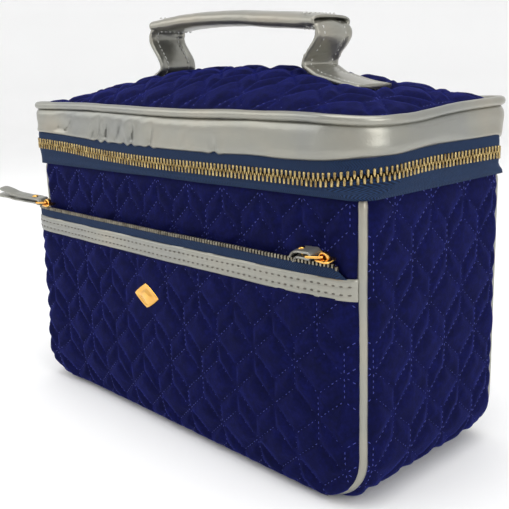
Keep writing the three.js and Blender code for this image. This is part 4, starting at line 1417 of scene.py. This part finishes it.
def slider_cast(name, origin, axes, along_bar):
    """The slider's plate, with rounded corners, and the arch that its link turns in."""
    wide, long = (0, 1) if along_bar else (1, 0)
    half = np.array(PLATE_HALF if along_bar else PLATE_HALF[::-1])
    angles = circle(40)
    outline = np.column_stack([powered(np.cos(angles), PLATE_POWER), powered(np.sin(angles), PLATE_POWER)])
    taper = np.ones_like(outline)
    taper[:, wide] = 1 - 0.16 * outline[:, long]
    rings = [np.column_stack([outline * share * half * taper, np.full(40, z)]) for share, z in PLATE_RINGS]
    plate = place(np.array(rings), origin, axes)
    angles = np.linspace(0, math.pi, 17)
    arch = points_at(2.35 * np.cos(angles), 0.0, 0.05 + 2.55 * np.sin(angles) ** 0.75)
    out = unit(points_at(np.cos(angles), 0.0, np.sin(angles)))
    rings = [[centre + normal * a + [0, b, 0] for a, b in ARCH_SECTION] for centre, normal in zip(arch, out)]
    arch = place(np.array(rings), origin, axes)
    points = np.vstack([plate.reshape(-1, 3), arch.reshape(-1, 3)])
    faces = outward(plate, ring_faces(40, len(plate)))
    arch_faces = outward(arch, ring_faces(len(ARCH_SECTION), len(arch)))
    faces += [[v + 40 * len(plate) for v in face] for face in arch_faces]
    new_object(f"{name}_slider_cast", points, faces, GOLD, f"{name}_slider_body",
               replaces=[f"{name}_slider"])


def link_wire(name, origin, axes, body):
    """The link: wire bent into a loop, narrow at the slider and wide at the pull."""
    corners = [(0, -NEAR_HALF), (0, NEAR_HALF), (LINK_LENGTH, LINK_HALF), (LINK_LENGTH, -LINK_HALF)]
    wire = []
    for k in range(4):
        here, before, after = (np.array(corners[i % 4], float) for i in (k, k - 1, k + 1))
        a, b = here + unit(before - here) * LINK_ROUND, here + unit(after - here) * LINK_ROUND
        for t in np.linspace(0, 1, 7):
            wire.append(a * (1 - t) ** 2 + here * 2 * t * (1 - t) + b * t**2)
    wire = np.array(wire)
    way = unit(np.roll(wire, -1, 0) - np.roll(wire, 1, 0))
    centres = points_at(*wire.T, BAR_HEIGHT)
    first = points_at(way[:, 1], -way[:, 0], 0.0)
    second = np.tile([0.0, 0.0, 1.0], (len(wire), 1))
    tube(f"{name}_link_wire", place(centres, origin, axes), first @ axes, second @ axes, BAR_R, GOLD, body,
         sides=12, joined=True, replaces=[f"{name}_link"])


def pull_leather(name, origin, axes, body, droop):
    """The pull: one leaf of leather out from its end, round the link's bar and back."""
    fold = BAR_R + 0.3 + LEAF / 2
    end, neck = LINK_LENGTH + PULL_LENGTH, LINK_LENGTH + 2 * fold
    half_leaf = LEAF_GAP + LEAF / 2
    upper = [(end - 4, half_leaf + 2.3), (end - 11, half_leaf + 1.3), (29, half_leaf + 0.2), (22, half_leaf),
             (neck, half_leaf)]
    round_bar = np.radians(np.linspace(80, 280, 13))
    bend = [(LINK_LENGTH + fold * math.cos(a), fold * math.sin(a)) for a in round_bar]
    lower = [(x + (4 if k == 0 else 0), -z * (0.42 if k < 2 else 1)) for k, (x, z) in enumerate(upper)][::-1]
    path = curve_through(upper + bend + lower, 0.8)
    s = lengths(path)
    section = np.linspace(-1, 1, 17)
    rib = 0.86 + 0.22 * (1 - np.abs(section) ** 4) - 0.25 * hump(np.abs(section), 0.7, 0.07)
    rib[[0, -1]] = 0.55
    rings = []
    for at, point, tangent in zip(s, path, unit(np.gradient(path, axis=0))):
        normal = np.array([-tangent[1], tangent[0]])
        tip = min(at, s[-1] - at)
        wide = section * (PULL_HALF * (1 - 0.25 * (1 - smooth(tip, 0, 2.2))))
        thick = LEAF / 2 * rib * (1 - 0.3 * (1 - smooth(tip, 0, 1.2)))
        faces = [point + normal * thick[:, None] * turned for turned in (1, -1)]
        top, low = (points_at(face[:, 0], wide, face[:, 1] + BAR_HEIGHT) for face in faces)
        rings.append(np.vstack([top, low[::-1]]))
    loft(f"{name}_pull_leather", place(droop(np.array(rings)), origin, axes), SILVER, body, uv=True,
         replaces=[f"{name}_pull"])


def rivet(name, origin, axes, body, droop):
    """A rivet with a domed head on each side of the pull."""
    around = circle(20)
    outline = [(radius, -z) for radius, z in RIVET_HALF[::-1]] + list(RIVET_HALF)
    rings = [points_at(RIVET_AT + radius * np.cos(around), radius * np.sin(around), BAR_HEIGHT + z)
             for radius, z in outline]
    loft(f"{name}_rivet_domed", place(droop(np.array(rings)), origin, axes), GOLD, body,
         replaces=[f"{name}_rivet"])


def slider_pieces(name, origin, axes, along_bar, droop):
    pull_body = f"{name}_pull_body"
    slider_cast(name, origin, axes, along_bar)
    link_wire(name, origin, axes, pull_body)
    pull_leather(name, origin, axes, pull_body, droop)
    rivet(name, origin, axes, pull_body, droop)


def slider_origin(name):
    low, high = span(f"{name}_slider")
    return (low + high) / 2


TILT = math.radians(8)
hanging = np.array([(0, 0, -1), (0, -1, 0), (-1, 0, 0)], float)
leaning = np.array([(-1, 0, 0), (0, -math.cos(TILT), -math.sin(TILT)), (0, -math.sin(TILT), math.cos(TILT))])


def hung_straight(points):
    """A main pull hangs straight down."""
    return points


def swung_out(points):
    """The left pull hangs out sideways, towards the front."""
    x, y, z = points[..., 0], points[..., 1], points[..., 2]
    angle = math.radians(16) * smooth(x, LINK_LENGTH - 2, LINK_LENGTH + 12)
    ahead = x - LINK_LENGTH
    return np.stack([LINK_LENGTH + ahead * np.cos(angle) - y * np.sin(angle) * 0.9,
                     y * np.cos(angle) + ahead * np.sin(angle), z + 0.15 * np.maximum(ahead, 0)], -1)


def dropped_in(points):
    """The right pull droops, so that its end goes down behind the pocket's mouth."""
    x, y, z = points[..., 0], points[..., 1], points[..., 2]
    start, radius, most = LINK_LENGTH + 3, 15.0, math.radians(58)
    turn = np.clip((x - start) / radius, 0, most)
    beyond = np.maximum(x - start - radius * most, 0)
    flat = np.minimum(x, start)
    height = z - BAR_HEIGHT
    along = flat + (radius + height) * np.sin(turn) + beyond * np.cos(turn)
    up = (radius + height) * np.cos(turn) - radius - beyond * np.sin(turn)
    slim = 1 - 0.6 * smooth(x, start + 4, start + 16)
    return np.stack([along, y * slim - 2.6 * smooth(x, start, start + 12), BAR_HEIGHT + up], -1)


plate_x = span("main_front_slider")[1][0] - 1.0  # the main sliders' plates lie this far along x
for name in ("main_front", "main_rear"):
    slider_pieces(name, (plate_x, slider_origin(name)[1], ZIP_Z), hanging, True, hung_straight)
for name, droop in (("pocket_left", swung_out), ("pocket_right", dropped_in)):
    pivot = joint_place(f"{name}_pull_swing")
    slider_pieces(name, pivot - leaning[2] * BAR_HEIGHT, leaning, False, droop)

# ---- Inside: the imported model's own boards and linings ----
for node, material in (("base_board", BOARD), ("lid_board", BOARD), ("body_lining", LINING),
                       ("lid_lining", LINING)):
    thing = frame["nodes"][node]
    if not thing.data.materials:
        thing.data.materials.append(material)
    for slot in thing.material_slots:
        slot.link = "OBJECT"
        slot.material = material


# ---- Studio, in metres ----
# The backdrop's outline: distance from the middle, and height.
BACKDROP = [(0.001, 0), (0.4, 0), (1.2, 0), (1.8, 0), (2.1, 0.03), (2.35, 0.16), (2.5, 0.4), (2.55, 0.8),
            (2.55, 1.7)]
FLOOR_GAP = 0.00005  # the floor lies this far under the case


def backdrop():
    """A floor that rises into a wall all round, so that no horizon shows."""
    angles = circle(96)
    rings = [points_at(r * np.cos(angles), r * np.sin(angles), z - FLOOR_GAP) for r, z in BACKDROP]
    floor = new_object("studio_floor", np.array(rings).reshape(-1, 3) / MM,
                       ring_faces(len(angles), len(BACKDROP), caps=False), floor_paint(), None, ride=False)


def area_light(name, place_at, target, size, power):
    light = bpy.data.lights.new(name, "AREA")
    light.shape = "RECTANGLE"
    light.size, light.size_y = size
    light.energy = power
    holder = bpy.data.objects.new(name, light)
    holder.location = place_at
    way = Vector(target) - Vector(place_at)
    holder.rotation_euler = way.to_track_quat("-Z", "Y").to_euler()
    bpy.context.scene.collection.objects.link(holder)


backdrop()
world = bpy.data.worlds.new("studio")
world.use_nodes = True
background = world.node_tree.nodes["Background"]
background.inputs["Color"].default_value = (1, 1, 1, 1)
background.inputs["Strength"].default_value = 0.8
bpy.context.scene.world = world
area_light("top_softbox", (0.1, -0.15, 1.35), (0, 0, 0.1), (1.4, 1.1), 10)
area_light("left_softbox", (-1.1, -0.9, 0.8), (0, 0, 0.1), (0.8, 0.9), 3.5)
area_light("right_softbox", (1.3, -0.2, 0.7), (0, 0, 0.12), (0.7, 0.9), 5)
bpy.context.scene.view_settings.view_transform = "Standard"

# The camera: its turns, its place in metres and its lens.
YAW, PITCH, ROLL = math.radians(47.01), math.radians(13.4), math.radians(-2.0)
forward = Vector((-math.sin(YAW) * math.cos(PITCH), math.cos(YAW) * math.cos(PITCH), -math.sin(PITCH)))
level = forward.cross(Vector((0, 0, 1))).normalized()
raised = level.cross(forward)
right = level * math.cos(ROLL) + raised * math.sin(ROLL)
up = raised * math.cos(ROLL) - level * math.sin(ROLL)
CAMERA_AT = (0.3318, -0.3024, 0.1981)
camera_data = bpy.data.cameras.new("camera")
camera_data.sensor_width = 36
camera_data.lens = 55.03
camera_data.clip_start = 0.01
camera = bpy.data.objects.new("camera", camera_data)
turn = Matrix((right, up, -forward)).transposed().to_4x4()
camera.matrix_world = Matrix.Translation(CAMERA_AT) @ turn
bpy.context.scene.collection.objects.link(camera)
bpy.context.scene.camera = camera
